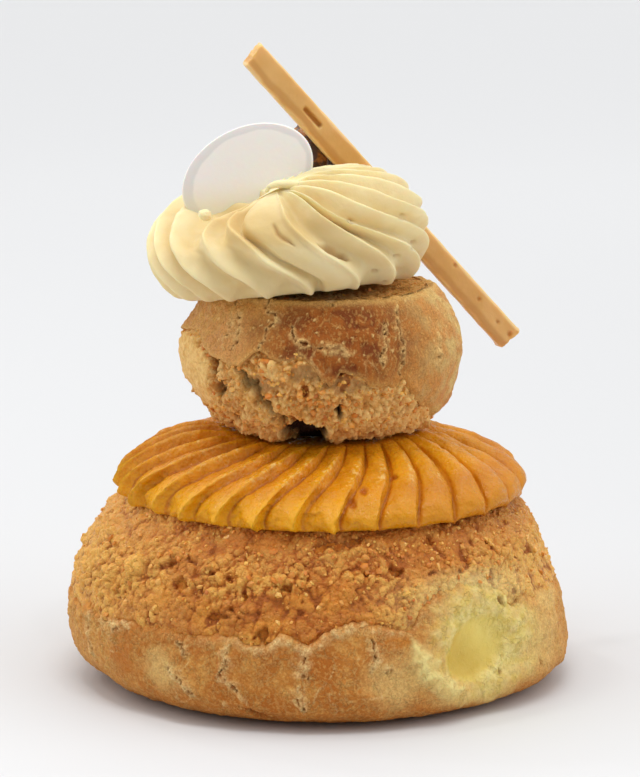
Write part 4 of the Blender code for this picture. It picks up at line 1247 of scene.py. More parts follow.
def browned_finish(colours):
    """Dark baked skin: red-brown under a fine froth, golden to the sides, with painted shade in its
    cracks.
    """
    made, tree, shader = new_material("browned_finish", 0.55, gloss=0.14)
    patches = patchy(tree, 3.0 * MM, 6, 0.38, 0.62)
    mottle = ranged(tree, speckle(tree, 0.8 * MM, 6, (1, 1, 1.8)), 0.34, 0.66)
    grain = patchy(tree, 0.25 * MM, 4, 0.34, 0.66)
    net = ranged(tree, speckle(tree, 0.42 * MM, 5, (1, 1, 1.7)), 0.5, 0.6)
    colour = mixed(tree, patches, colours.skin_brown, colours.skin_gold)
    colour = tinted(tree, colour, mottle, 0.4, colours.skin_gold)
    dark = mixed(tree, ranged(tree, layer(tree, "blister"), -0.3, 0.25), colours.skin_dark,
                 colours.skin_brown)
    side = mixed(tree, mottle, colours.flake_gold, colours.moist_orange)
    pale_side = mixed(tree, patches, colours.choux_pale, colours.moist_orange)
    colour = stained(tree, colour, ("right", 0.85, pale_side), ("left", 0.8, side),
                     ("dark", 0.9, dark), ("moist", 0.75, colours.moist_orange))
    colour = tinted(tree, colour, net, 0.36, colours.skin_froth)
    colour = tinted(tree, colour, grain, 0.28, colours.skin_dark)
    # Pale crumb along the cracks, the gold rim and pale specks, then painted shade inside the cracks
    for name, share, shade in (("fringe", 0.95, colours.crumb_straw), ("rim", 0.75, colours.rim_gold),
                               ("speck", 0.8, colours.crumb_straw), ("crack", 0.75, colours.skin_dark)):
        spotted = times(tree, layer(tree, name), share)
        colour = mixed(tree, times(tree, spotted, ranged(tree, grain, 0, 1, 1.0, 0.55)),
                       colour, shade)
    rough = plus(tree, speckle(tree, 0.4 * MM, 6), times(tree, net, 0.3))
    shine = ranged(tree, layer(tree, "moist"), 0.0, 1.0, 0.55, 0.3)
    finish_with(tree, shader, colour, rough, 0.26 * MM, shine)
    return made


# Rosette

def rosette_outline(gap):
    """The rosette's outline, and the share of it that is passed where its foot ends."""
    widest = (ROSETTE_RADIUS, ROSETTE_WIDEST)
    crest = (ROSETTE_CREST_RADIUS, ROSETTE_CREST)
    below = quarter(widest, (ROSETTE_FOOT, 0.0), ROSETTE_SIDE_POWERS)[::-1]
    above = quarter(widest, crest, ROSETTE_SIDE_POWERS)
    turn = np.linspace(0, math.pi, 60)
    top = np.column_stack((ROSETTE_CREST_RADIUS * (1 - turn / math.pi),
                           ROSETTE_CREST + PEAK_RISE * (0.5 - 0.5 * np.cos(turn))))
    base = evenly(np.array(((0.0, 0.0), (ROSETTE_FOOT, 0.0))), 6 * gap)
    outline = chain(base, evenly(below, gap), evenly(above, gap), evenly(top, gap))
    return outline, (len(base) - 1) / (len(outline) - 1)


def gathered(heading, radius, share):
    """Plan places where the ridges run together to one side of the middle, and how far each
    is from the place that it heads away from."""
    centre = smooth(share, 0.1, GATHER)[:, None] * RIDGE_GATHER
    shift = smooth(share, GATHER - 0.04, 1.0)[:, None] * RIDGE_GATHER
    run = np.column_stack((np.cos(heading), np.sin(heading)))
    away = centre - shift
    reach = np.sum(away * run, axis=1)
    room = np.clip(reach ** 2 + radius ** 2 - np.sum(away ** 2, axis=1), 0, None)
    far = np.sqrt(room) - reach
    return centre + far[:, None] * run, far


def settled(points, facing):
    """The points of the even rosette, drooping, dipped and leaning as the real cream does."""
    x, y, height = points.T
    raised = smooth(height, 0.0, ROSETTE_WIDEST)
    upward = smooth(height, ROSETTE_WIDEST, ROSETTE_CREST)
    foot = FOOT_RISE - LEFT_DROOP * at_angle(facing, 180, 52) + RIGHT_LIFT * at_angle(facing, -58, 50)
    dip = bell(turn_from(facing, DIP_ANGLE), 0.0, DIP_HALF_WIDTH)
    level = height + foot * (1 - raised) - BACK_DROP * upward * at_angle(facing, 85, 75)
    level -= DIP_DEPTH * dip * upward * smooth(np.hypot(x, y), 2 * MM, 8 * MM)
    lean = ROSETTE_LEAN * (0.3 + 0.7 * raised)
    cosine, sine = np.cos(lean), np.sin(lean)
    return np.column_stack((x * cosine + level * sine, y, level * cosine - x * sine)) + ROSETTE_CENTRE


def make_rosette(sizes, colours):
    """The piped cream: slanting ridges that climb round it and gather at its peak."""
    outline, foot = rosette_outline(sizes.rosette_gap)
    count = len(CREST_ANGLES)
    mesh = turned("piped_rosette", outline, count * sizes.ridge_steps)
    angle, radius, height, passed = cylinder_places(mesh)
    under = passed < foot
    share = np.clip((passed - foot) / (1 - foot), 0, 1)
    place = (angle / math.tau * count) % count
    across = place % 1.0
    crests = np.radians((*CREST_ANGLES, CREST_ANGLES[0] + 360))
    start = np.interp(place, range(count + 1), crests)
    heading = start + ridge_twist(start, share)
    flat, far = gathered(heading, radius, share)
    flat = np.where(under[:, None], polar(heading, radius, height)[:, :2], flat)
    facing = np.arctan2(flat[:, 1], flat[:, 0])
    write_points(mesh, settled(np.column_stack((flat, height)), facing))

    draw = np.random.default_rng(51)
    strength, skew = draw.random((2, count))
    index = np.floor(place).astype(int) % count
    wave = np.abs(np.sin(math.pi * across ** (0.80 + 0.25 * skew[index])))
    blunt = CREST_ROUND ** 0.5
    wave = (np.sqrt(wave ** 2 + CREST_ROUND) - blunt) / ((1 + CREST_ROUND) ** 0.5 - blunt)
    ridge = 0.5 - wave
    broad = 0.22 - 0.75 * bell(across, 0.17, 0.09) + 0.28 * bell(across, 0, 0.07)
    broad += 0.28 * smooth(across, 0.86, 1.0)
    ridge = np.where(index == BROAD_FACE, broad, ridge)
    # A crease beside the broad face, pushed in and darkened with painted shade
    fold = (index == BROAD_FACE + 1) * wave * bell(share, 0.24, 0.14)
    deep = 0.85 + 0.35 * strength[index] * np.sin(math.pi * across)
    thin = smooth(far, 0.6 * MM, 9 * MM) ** 0.7
    edge = smooth(share, 0.0, 0.08) * (1 - smooth(share, 0.8, 1.0))
    lift = RIDGE_HEIGHT * ridge * deep * thin * edge - 0.35 * MM * fold
    lift -= 0.5 * MM * at_angle(facing, 180, 50) * edge
    push(mesh, np.where(under, 0.0, lift))

    points = read_points(mesh)
    front = np.where(points[:, 1:2] < 0, points[:, (0, 2)], 1.0) / MM
    loose = wandering(front, points, 1.5 * MM, (53, 54), 1, 0.25)
    slit = score(loose, 0.26, *CREAM_SLIT)
    tear = score(loose, 0.30, *CREAM_TEAR)
    pits = spots(loose, [(x, z, (size, 0.6 * size)) for x, z, size in CREAM_PITS])
    distance = 0.14 * MM * ripple(points, 3.2 * MM, 51, 2)
    distance += 0.035 * MM * ripple(points, 0.9 * MM, 52, 2)
    distance -= 1.0 * MM * slit + 0.45 * MM * tear + 0.35 * MM * pits
    # Painted shadow of the disc and the peak on the cream below them
    shaded = spots(loose, CREAM_SHADE, edge=0.6)
    push(mesh, np.where(under, 0.0, distance * edge))
    # Painted shade low on the rosette's front
    low = 0.3 * (1 - smooth(height, 2 * MM, 8 * MM)) * at_angle(facing, -90, 60)
    # Painted shade: the valleys between ridges are darkened, less on the right
    keep(mesh, valley=(wave * thin) ** 1.5 * (1 - 0.75 * at_angle(facing, -15, 60)),
         tear=tear + slit + 0.5 * pits, fold=np.maximum(np.maximum(0.5 * fold, shaded), low))
    ease(mesh, far < EASED_PEAK, 8)
    x, y, z = read_points(mesh).T
    ease(mesh, (x < HOOK_LEFT) & (y > HOOK_FRONT) & (y < 0) & (z > HOOK_LOW), 60)
    return add_piece(mesh, cream_finish(colours), "pale_cream", "cream_rosette")


def ease(mesh, chosen, rounds):
    """Smooth the chosen points of a mesh."""
    bm = bmesh.new()
    bm.from_mesh(mesh)
    near = [vert for vert, wanted in zip(bm.verts, chosen) if wanted]
    for _ in range(rounds):
        bmesh.ops.smooth_vert(bm, verts=near, factor=0.5, use_axis_x=True, use_axis_y=True,
                              use_axis_z=True)
    bm.to_mesh(mesh)
    bm.free()


def ridge_twist(start, share):
    """How far a ridge has turned about the gathering place, from its foot's angle up."""
    share = np.minimum(share, GATHER)
    past = start % math.tau
    left = smooth(past, math.radians(40), math.radians(209))
    left *= 1 - smooth(past, math.radians(280), math.radians(302))
    front = 1 - smooth(past, math.radians(220), math.radians(260))
    sweep = 12 * smooth(share, 0.05, 0.3)
    sweep += 330 * np.clip(share - 0.12, 0, None) ** 2 * (1 + 0.6 * front)
    sweep = MOST_SWEEP * np.tanh(sweep / MOST_SWEEP)
    swirl = 28 + 24 * smooth(turn_from(start, 0.0), math.radians(-40), 0.0)
    swirl *= smooth(share, 0.05, 0.45)
    return -np.radians(left * sweep + (1 - left) * swirl)


def tube(name, middles, sizes, sides=24):
    """A closed tapering tube through middles, one half size for each."""
    middles = [Vector(middle) * MM for middle in middles]
    bm = bmesh.new()
    rings = []
    for place, (middle, size) in enumerate(zip(middles, sizes)):
        before, after = middles[max(place - 1, 0)], middles[min(place + 1, len(middles) - 1)]
        turned_to = (after - before).to_track_quat("Z", "Y").to_matrix().to_4x4()
        made = bmesh.ops.create_circle(bm, segments=sides, radius=size * MM,
                                       matrix=Matrix.Translation(middle) @ turned_to)
        rings.append(made["verts"])
    for first, second in zip(rings, rings[1:]):
        for side in range(sides):
            after = (side + 1) % sides
            bm.faces.new((first[side], first[after], second[after], second[side]))
    for ring in (rings[0], rings[-1]):
        bmesh.ops.contextual_create(bm, geom=ring)
    bmesh.ops.recalc_face_normals(bm, faces=bm.faces[:])
    mesh = bpy.data.meshes.new(name)
    bm.to_mesh(mesh)
    bm.free()
    return mesh


def curve_through(places, count):
    """Points along a smooth curve through places."""
    places = np.array([places[0], *places, places[-1]], dtype=float)
    made = []
    for step in np.linspace(0, len(places) - 3 - 1e-6, count):
        first = int(step)
        t = step - first
        a, b, c, d = places[first:first + 4]
        made.append(0.5 * (2 * b + (c - a) * t + (2 * a - 5 * b + 4 * c - d) * t * t
                           + (3 * b - 3 * c + d - a) * t ** 3))
    return np.array(made)


def make_cream_tip(sizes, colours):
    """The tail that the nozzle left, a tapering hook to the left of the peak, and a bead."""
    line = curve_through(TIP_PLACES, 60)
    along = np.linspace(0, 1, 60)
    half = 0.28 + 0.55 * (1 - along) ** 0.9
    mesh = tube("cream_tip", line, half, 48)
    points = read_points(mesh)
    push(mesh, 0.12 * MM * ripple(points, 1.6 * MM, 55, 2))
    bead = ball("cream_bead", 4, BEAD_RADIUS)
    points = read_points(bead)
    push(bead, 0.22 * MM * ripple(points, 0.9 * MM, 56, 3))
    points = read_points(bead) * (1.1, 1.0, 0.9) + np.multiply(BEAD_PLACE, MM)
    write_points(bead, points)
    for made in (mesh, bead):
        plain = np.zeros(len(made.vertices))
        keep(made, valley=plain, tear=plain, fold=plain)
        add_piece(made, bpy.data.materials["cream_finish"], "pale_cream")


def cream_finish(colours):
    """Smooth pale butter-yellow cream, with painted shade in its hollows, under the disc and low in
    front.
    """
    made, tree, shader = new_material("cream_finish", 0.48, gloss=0.2, softness=0.35, reach=1.6 * MM,
                                      tints=(1.0, 0.65, 0.3))
    patches = patchy(tree, 6 * MM, 3, 0.35, 0.65)
    colour = mixed(tree, patches, colours.cream_pale, colours.cream_warm)
    deep = maths(tree, "MAXIMUM", times(tree, layer(tree, "valley"), 0.62), layer(tree, "fold"))
    colour = mixed(tree, deep, colour, colours.cream_deep)
    # Painted shade in the tears, slit and pits
    colour = stained(tree, colour, ("tear", 0.6, colours.cream_tear))
    finish_with(tree, shader, colour, speckle(tree, 0.5 * MM, 4), 0.05 * MM)
    return made


# Garnish

def make_disc(sizes, colours):
    """The oval white disc with a plain grey border band."""
    half = DISC_THICKNESS / 2
    soft = 0.3 * MM / DISC_HALF_LENGTH
    turn = np.linspace(-math.pi / 2, math.pi / 2, 9)
    rim = np.column_stack((1 - soft + soft * np.cos(turn),
                           half * np.sign(np.sin(turn)) * np.abs(np.sin(turn)) ** 0.6))
    back = np.column_stack((np.linspace(0, 1 - soft, 24), np.full(24, -half)))
    front = np.column_stack((np.linspace(1 - soft, 0, 60), np.full(60, half)))
    mesh = turned("oval_disc", chain(back, rim, front), 160)
    points = read_points(mesh)
    share = np.hypot(points[:, 0], points[:, 1])
    inner = np.hypot(points[:, 0] - 0.035, points[:, 1] + 0.035)
    edge = bell(share, 1.0, 0.08) * 0.1 * MM
    points *= (DISC_HALF_LENGTH, DISC_HALF_WIDTH, 1.0)
    points[:, 2] += np.where(points[:, 2] > 0, -edge, edge)
    upright = Matrix.Rotation(math.pi / 2, 4, "X") @ Matrix.Rotation(DISC_SLOPE, 4, "Z")
    lean = Matrix.Rotation(-DISC_LEAN, 4, "X")
    yaw = Matrix.Rotation(DISC_YAW, 4, "Z")
    write_points(mesh, points)
    keep(mesh, share=share, inner=inner)
    mesh.transform(Matrix.Translation(box_centre("white_disc")) @ yaw @ lean @ upright)
    level = read_points(mesh)[:, 2]
    # Painted shade and warm light from the cream, low on the disc where it sinks in
    keep(mesh, low=1 - smooth(level, level.min(), level.min() + 8 * MM))
    return add_piece(mesh, disc_finish(colours), "white_sugar", "white_disc")


def disc_finish(colours):
    """Smooth white sugar, warm in the middle, with a pale grey band round its edge and painted warm
    shade low down by the cream.
    """
    made, tree, shader = new_material("disc_finish", 0.4, softness=0.4, reach=1.5 * MM)
    wander = patchy(tree, 4 * MM, 3, 0.3, 0.7, -0.015, 0.015)
    band = ranged(tree, plus(tree, layer(tree, "inner"), wander), 0.84, 0.89)
    rim = ranged(tree, layer(tree, "share"), 0.965, 0.99)
    colour = mixed(tree, band, colours.disc_white, colours.disc_grey)
    colour = mixed(tree, rim, colour, colours.disc_white)
    # Painted shade and warm light from the cream, low down
    colour = stained(tree, colour, ("low", 0.75, colours.cream_warm))
    finish_with(tree, shader, colour, speckle(tree, 0.8 * MM, 4), 0.03 * MM)
    return made


def make_stick(sizes, colours):
    """The caramel stick: soft edges, a slanting break, a slit and small pits."""
    along = (STICK_UPPER_END - STICK_LOWER_END).normalized()
    across = Vector((0, 1, 0)).cross(along).normalized()
    back = along.cross(across)
    axes = Matrix((across, back, along)).transposed().to_4x4() @ Matrix.Rotation(STICK_ROLL, 4, "Z")
    half = (STICK_UPPER_END - STICK_LOWER_END).length / 2
    gap = 0.3 * MM
    soft = 0.35 * MM
    turn = np.linspace(0, math.pi / 2, 8)
    low_rim = np.column_stack((1 - 0.12 + 0.12 * np.sin(turn), -half + soft * (1 - np.cos(turn))))
    high_rim = low_rim[::-1] * (1, -1)
    sides = np.column_stack((np.ones(2), (-half + soft, half - soft)))
    lower = np.column_stack((np.linspace(0, 0.88, 14), np.full(14, -half)))
    upper = np.column_stack((np.linspace(0.88, 0, 14), np.full(14, half)))
    mesh = turned("caramel_bar", chain(lower, low_rim, evenly(sides, gap), high_rim, upper), 96)
    points = read_points(mesh)
    angle = np.arctan2(points[:, 1], points[:, 0])
    share = np.hypot(points[:, 0], points[:, 1])
    corners = np.abs(np.cos(angle)) ** STICK_CORNERS + np.abs(np.sin(angle)) ** STICK_CORNERS
    square = corners ** (-1 / STICK_CORNERS)
    x = share * square * np.cos(angle) * STICK_WIDTH / 2
    y = share * square * np.sin(angle) * STICK_THICKNESS / 2
    z = points[:, 2]
    end = smooth(z, half - 6 * MM, half)
    z = z + end * (STICK_BREAK * (x / STICK_WIDTH + 0.5) - STICK_BREAK)
    write_points(mesh, np.column_stack((x, y, z)))
    places = read_points(mesh)
    cap = smooth(np.abs(z), half - 1.2 * MM, half)
    distance = 0.06 * MM * ripple(places, 2.5 * MM, 61, 2)
    distance += 0.25 * MM * cap * ripple(places, 1.0 * MM, 62, 3)
    front = y < -0.4 * STICK_THICKNESS
    from_top = half - z
    beyond = np.clip(np.abs(from_top - STICK_SLIT[0]) - STICK_SLIT[1], 0, None)
    slit = (1 - smooth(np.hypot(x - 0.25 * MM, beyond), 0.15 * MM, 0.55 * MM)) * front
    pits = np.zeros_like(x)
    for below, aside, size in STICK_PITS:
        near = np.hypot(x - aside * MM, from_top - below * MM) / (size * MM)
        pits = np.maximum(pits, (1 - smooth(near, 0.3, 1.0)) * front)
    push(mesh, distance - 0.6 * MM * slit - 0.25 * MM * pits)
    hollow = 1 - smooth(np.hypot(x / STICK_WIDTH, y / STICK_THICKNESS), 0.12, 0.3)
    hollow *= smooth(np.abs(z), half - 0.3 * MM, half)
    keep(mesh, slit=np.maximum(slit, 0.7 * pits), across=x / STICK_WIDTH + 0.5, hollow=hollow)
    mesh.transform(Matrix.Translation((STICK_UPPER_END + STICK_LOWER_END) / 2) @ axes)
    return add_piece(mesh, stick_finish(colours), "blond_caramel", "caramel_stick")


def stick_finish(colours):
    """Blond caramel: waxy, deeper orange inside its ends, painted shade in slit, pits and a side band,
    painted light on its edges.
    """
    made, tree, shader = new_material("stick_finish", 0.42, gloss=0.25, softness=0.5, reach=1.5 * MM,
                                      tints=(1.0, 0.55, 0.2))
    patches = patchy(tree, 5 * MM, 3, 0.35, 0.65)
    colour = mixed(tree, patches, colours.stick_blond, colours.stick_tan)
    wander = patchy(tree, 6 * MM, 3, 0.3, 0.7, -0.06, 0.06)
    place = plus(tree, layer(tree, "across"), wander)
    # Painted shade: a darker band along the left stands for the stick's shaded side face
    stripe = times(tree, ranged(tree, place, 0.08, 0.18), ranged(tree, place, 0.30, 0.45, 1.0, 0.0))
    colour = tinted(tree, colour, stripe, 0.55, colours.stick_brown)
    # Painted light along both edges
    pale = maths(tree, "MAXIMUM", ranged(tree, place, 0.05, 0.12, 1.0, 0.0),
                 ranged(tree, place, 0.88, 0.95))
    colour = tinted(tree, colour, pale, 0.55, colours.stick_pale)
    # Painted shade in the slit and pits; deeper orange at the middle of the ends
    colour = stained(tree, colour, ("slit", 1.0, colours.stick_deep),
                     ("hollow", 1.0, colours.stick_deep))
    finish_with(tree, shader, colour, speckle(tree, 0.6 * MM, 4), 0.05 * MM)
    return made


def make_nut(sizes, colours):
    """The dark nut: a lump chopped to blunt sides, under bumpy caramel."""
    mesh = ball("burnt_nut", 6, 1.0)
    points = read_points(mesh) * NUT_HALF_SIZES
    for side in range(NUT_SIDES):
        turn = side * NUT_SIDE_TURN
        facing = np.array((math.cos(turn), math.sin(turn), math.sin(2.1 * turn)))
        facing /= np.linalg.norm(facing)
        reach = np.linalg.norm(facing * NUT_HALF_SIZES) * NUT_CHOP
        beyond = np.clip(points @ facing - reach, 0, None)
        points -= beyond[:, None] * 0.92 * facing
    write_points(mesh, points)
    relief = 0.35 * MM * ripple(points, 2.2 * MM, 71, 4)
    push(mesh, relief)
    keep(mesh, high=relief / MM)
    mesh.transform(Matrix.Translation(box_centre("dark_nut")))
    return add_piece(mesh, nut_finish(colours), "burnt_caramel", "dark_nut")


def nut_finish(colours):
    """Glossy burnt caramel with amber glints."""
    made, tree, shader = new_material("nut_finish", 0.3, gloss=0.5)
    glint = patchy(tree, 1.5 * MM, 3, 0.48, 0.62)
    colour = mixed(tree, glint, colours.nut_dark, colours.nut_amber)
    finish_with(tree, shader, colour, speckle(tree, 0.8 * MM, 5), 0.3 * MM)
    return made


# Add-on

def colour_setting(name, description, default):
    return FloatVectorProperty(name=name, description=description, subtype="COLOR", size=3,
                               min=0.0, max=1.0, default=default)


def length_setting(name, description, default):
    return FloatProperty(name=name, description=description, default=default, min=0.0,
                         unit="LENGTH", precision=5)


class PastrySizes(bpy.types.PropertyGroup):
    """How finely each surface is modelled."""

    wall_gap: length_setting("Wall gap", "Between points on the choux wall", 0.29 * MM)
    crust_gap: length_setting("Crust gap", "Between points on the crumbly crust", 0.25 * MM)
    collar_gap: length_setting("Collar gap", "Between points along a flute", 0.3 * MM)
    flute_steps: IntProperty(name="Flute steps", description="Points across one flute", default=24)
    small_gap: length_setting("Small gap", "Between points on the small choux", 0.24 * MM)
    rosette_gap: length_setting("Rosette gap", "Between points along a ridge", 0.3 * MM)
    crust_bits: IntProperty(name="Crust bits", description="Loose crumbs on the crust", default=2200)
    torn_bits: IntProperty(name="Torn bits", description="Loose crumbs on the small choux",
                           default=1000)
    ridge_steps: IntProperty(name="Ridge steps", description="Points across a ridge", default=30)


class PastryColours(bpy.types.PropertyGroup):
    """Colours of the pastry's surfaces."""

    choux_gold: colour_setting("Choux gold", "Plain baked choux", (0.7, 0.32, 0.066))
    choux_brown: colour_setting("Choux brown", "Darker baked choux", (0.52, 0.165, 0.022))
    choux_deep: colour_setting("Choux deep", "Darkest specks", (0.34, 0.085, 0.011))
    choux_pale: colour_setting("Choux pale", "Crumb in the cracks", (0.92, 0.68, 0.25))
    choux_crumb: colour_setting("Choux crumb", "Crumb along the cracks", (0.92, 0.66, 0.29))
    # Pale baked choux for flecks, and for the paler sides, which are partly painted light
    choux_side: colour_setting("Choux side", "Lighter baked choux at the sides", (0.88, 0.53, 0.16))
    soft_green: colour_setting("Soft area", "Moist pale dough", (0.78, 0.61, 0.15))
    soft_pale: colour_setting("Soft pale", "Paler crumb round the dent", (0.94, 0.79, 0.31))
    dent_yellow: colour_setting("Dent", "Custard behind the dent", (0.92, 0.73, 0.2))
    # Painted shade on the dent's lower left
    dent_olive: colour_setting("Dent low", "Its darker lower left", (0.66, 0.45, 0.08))
    crust_amber: colour_setting("Crust amber", "Crumbly crust", (0.64, 0.215, 0.022))
    crust_brown: colour_setting("Crust brown", "Darker crust", (0.5, 0.135, 0.014))
    crust_straw: colour_setting("Crust straw", "Pale grains", (0.86, 0.47, 0.1))
    # Painted shade in hollows between grains, pits, holes, cracks and the ledge
    crust_hollow: colour_setting("Crust hollow", "Between the grains", (0.3, 0.07, 0.008))
    # Moist crust by the collar, also painted shade under its rim
    crust_wet: colour_setting("Crust wet", "Moist crust by the collar", (0.5, 0.16, 0.028))
    collar_orange: colour_setting("Collar orange", "Orange cream", (0.75, 0.285, 0.005))
    # Deeper cream in random patches, also painted shade in the troughs and on the right
    collar_deep: colour_setting("Collar deep", "Deeper cream", (0.59, 0.205, 0.003))
    # Yellower rim cream, also painted light on the crests and upper right
    collar_yellow: colour_setting("Collar yellow", "Rim", (0.8, 0.39, 0.01))
    # Painted shade in the collar's grooves and tears
    collar_groove: colour_setting("Collar groove", "Grooves", (0.4, 0.075, 0.003))
    crumb_tan: colour_setting("Crumb tan", "Torn crumb", (0.73, 0.35, 0.078))
    crumb_brown: colour_setting("Crumb brown", "Darker torn crumb", (0.53, 0.2, 0.034))
    crumb_straw: colour_setting("Crumb straw", "Pale torn crumb", (0.92, 0.61, 0.23))
    crumb_grey: colour_setting("Crumb grey", "Dull inside of the torn crumb", (0.5, 0.26, 0.09))
    # Painted shade inside the holes and crevices
    hole_dark: colour_setting("Hole", "Inside of the holes", (0.02, 0.006, 0.003))
    flake_gold: colour_setting("Flake", "Smooth golden flakes", (0.81, 0.48, 0.14))
    rim_gold: colour_setting("Rim", "Rim round the flat top", (0.8, 0.5, 0.16))
    flat_grey: colour_setting("Flat grey", "Porous flat top", (0.66, 0.42, 0.18))
    flat_brown: colour_setting("Flat brown", "Porous flat top, darker", (0.42, 0.21, 0.065))
    skin_dark: colour_setting("Skin dark", "Darkest skin", (0.18, 0.034, 0.005))
    skin_brown: colour_setting("Skin brown", "Red-brown skin", (0.36, 0.098, 0.012))
    skin_froth: colour_setting("Skin froth", "Fine pale net over the skin", (0.76, 0.42, 0.12))
    moist_orange: colour_setting("Moist orange", "Moist patch on the left", (0.76, 0.36, 0.11))
    skin_gold: colour_setting("Skin gold", "Golden skin", (0.64, 0.27, 0.048))
    cream_pale: colour_setting("Cream pale", "Rosette", (0.88, 0.765, 0.455))
    cream_warm: colour_setting("Cream warm", "Rosette, warmer", (0.83, 0.69, 0.38))
    # Painted shade on the cream: its valleys, crease, the cream under the disc and its low front
    cream_deep: colour_setting("Cream deep", "Valleys", (0.64, 0.43, 0.15))
    # Painted shade in the cream's tears, slit and pits
    cream_tear: colour_setting("Cream tear", "Tears and pits", (0.45, 0.2, 0.045))
    disc_white: colour_setting("Disc white", "Disc", (0.86, 0.85, 0.81))
    disc_grey: colour_setting("Disc grey", "Border band", (0.73, 0.73, 0.71))
    stick_blond: colour_setting("Stick blond", "Stick", (0.8, 0.5, 0.19))
    stick_tan: colour_setting("Stick tan", "Stick, darker", (0.74, 0.43, 0.14))
    # Deeper caramel at the middle of the ends, and painted shade in the slit and pits
    stick_deep: colour_setting("Stick deep", "Slit and pits", (0.58, 0.24, 0.045))
    # Painted shade of the stick's side face
    stick_brown: colour_setting("Stick brown", "Stripe along the stick", (0.56, 0.26, 0.065))
    # Painted light along the stick's edges
    stick_pale: colour_setting("Stick pale", "Edges of the stick", (0.90, 0.68, 0.36))
    nut_dark: colour_setting("Nut dark", "Nut", (0.06, 0.02, 0.008))
    nut_amber: colour_setting("Nut amber", "Glints", (0.34, 0.13, 0.025))
    floor: colour_setting("Floor", "Pale floor", (0.725, 0.73, 0.74))


class StudioSettings(bpy.types.PropertyGroup):
    """Camera and light."""

    distance: length_setting("Distance", "Camera to target", 0.45)
    elevation: FloatProperty(name="Elevation", description="Camera above the level",
                             default=math.radians(10.5), subtype="ANGLE")
    target_height: length_setting("Target height", "What the camera looks at", 0.0432)
    target_x: length_setting("Target x", "What the camera looks at", 0.00045)
    lens: FloatProperty(name="Lens", description="Focal length in millimetres", default=137.6)
    sun_power: FloatProperty(name="Suns", description="Strength of the wide lights", default=0.5)
    sun_spread: FloatProperty(name="Sun spread", description="How wide they look",
                              default=math.radians(60), subtype="ANGLE")
    softbox_power: FloatProperty(name="Softbox", description="Watts overhead", default=0.85)
    sky: FloatProperty(name="Sky", description="Brightness of the even light", default=0.69)
    sky_front: FloatProperty(name="Sky in front", description="Its brightness in front",
                             default=0.38)


class PieceMaker(bpy.types.Operator):
    """Base of the operators that build pieces."""

    bl_options = {"REGISTER", "UNDO"}

    def execute(self, context):
        scene = context.scene
        for maker in self.makers:
            maker(scene.pastry_sizes, scene.pastry_colours)
        return {"FINISHED"}


class PASTRY_OT_large_choux(PieceMaker):
    """Build the large choux and its crust."""

    bl_idname = "pastry.large_choux"
    bl_label = "Large choux"
    makers = (make_choux_shell, make_crumb_crust)


class PASTRY_OT_collar(PieceMaker):
    """Build the orange collar."""

    bl_idname = "pastry.collar"
    bl_label = "Orange collar"
    makers = (make_collar,)


class PASTRY_OT_small_choux(PieceMaker):
    """Build the small choux and its skin."""

    bl_idname = "pastry.small_choux"
    bl_label = "Small choux"
    makers = (make_small_choux, make_browned_skin)


class PASTRY_OT_rosette(PieceMaker):
    """Build the cream rosette."""

    bl_idname = "pastry.rosette"
    bl_label = "Cream rosette"
    makers = (make_rosette, make_cream_tip)


class PASTRY_OT_garnish(PieceMaker):
    """Build the disc, the stick and the nut."""

    bl_idname = "pastry.garnish"
    bl_label = "Garnish"
    makers = (make_disc, make_stick, make_nut)


class PASTRY_OT_stage(bpy.types.Operator):
    """Build the floor, the lights and the camera."""

    bl_idname = "pastry.stage"
    bl_label = "Studio"
    bl_options = {"REGISTER", "UNDO"}

    def execute(self, context):
        scene = context.scene
        studio = scene.pastry_studio
        make_floor(scene.pastry_colours)
        make_lights(studio)
        make_camera(studio)
        return {"FINISHED"}


def make_floor(colours):
    """A wide pale floor, a little darker under the pastry than in front and far behind."""
    bm = bmesh.new()
    bmesh.ops.create_grid(bm, x_segments=1, y_segments=1, size=5.0)
    mesh = bpy.data.meshes.new("studio_floor")
    bm.to_mesh(mesh)
    bm.free()
    made, tree, shader = new_material("floor_finish", 0.7, gloss=0.1)
    places = add(tree, "ShaderNodeTexCoord").outputs["Object"]
    depth = add(tree, "ShaderNodeSeparateXYZ", {0: places}).outputs["Y"]
    dim, bright = (tuple(share * part for part in colours.floor) for share in FLOOR_SHARES)
    colour = mixed(tree, ranged(tree, depth, 0.05, 0.7), dim, bright)
    colour = mixed(tree, ranged(tree, depth, -0.08, 0.06, 0.36, 0.0), colour, bright)
    finish_with(tree, shader, colour)
    mesh.materials.append(made)
    floor = bpy.data.objects.new("studio_floor", mesh)
    bpy.context.scene.collection.objects.link(floor)


def make_lights(studio):
    """Wide suns from both sides and behind, an overhead softbox, an even sky that is
    dimmer in front, and small lights that glint on the moist cream."""
    world = bpy.data.worlds.new("even_light")
    world.use_nodes = True
    tree = world.node_tree
    facing = add(tree, "ShaderNodeTexCoord").outputs["Generated"]
    depth = add(tree, "ShaderNodeSeparateXYZ", {0: facing}).outputs["Y"]
    strength = ranged(tree, depth, -0.9, 0.1, studio.sky_front, studio.sky)
    tree.links.new(strength, tree.nodes["Background"].inputs["Strength"])
    tree.nodes["Background"].inputs["Color"].default_value = (1.0, 1.0, 1.0, 1.0)
    bpy.context.scene.world = world
    for name, azimuth, elevation, share in SUNS:
        lamp = bpy.data.lights.new(name, "SUN")
        lamp.angle = studio.sun_spread
        lamp.energy = studio.sun_power * share
        add_light(lamp, studio_place(azimuth, elevation))
    box = bpy.data.lights.new("softbox", "AREA")
    box.shape = "RECTANGLE"
    box.size, box.size_y = SOFTBOX_SIZE
    box.energy = studio.softbox_power
    add_light(box, studio_place(*SOFTBOX_PLACE))
    for azimuth, elevation, power in SPARKLES:
        lamp = bpy.data.lights.new("sparkle", "AREA")
        lamp.size = 0.02
        lamp.energy = power
        add_light(lamp, studio_place(azimuth, elevation, 0.5))


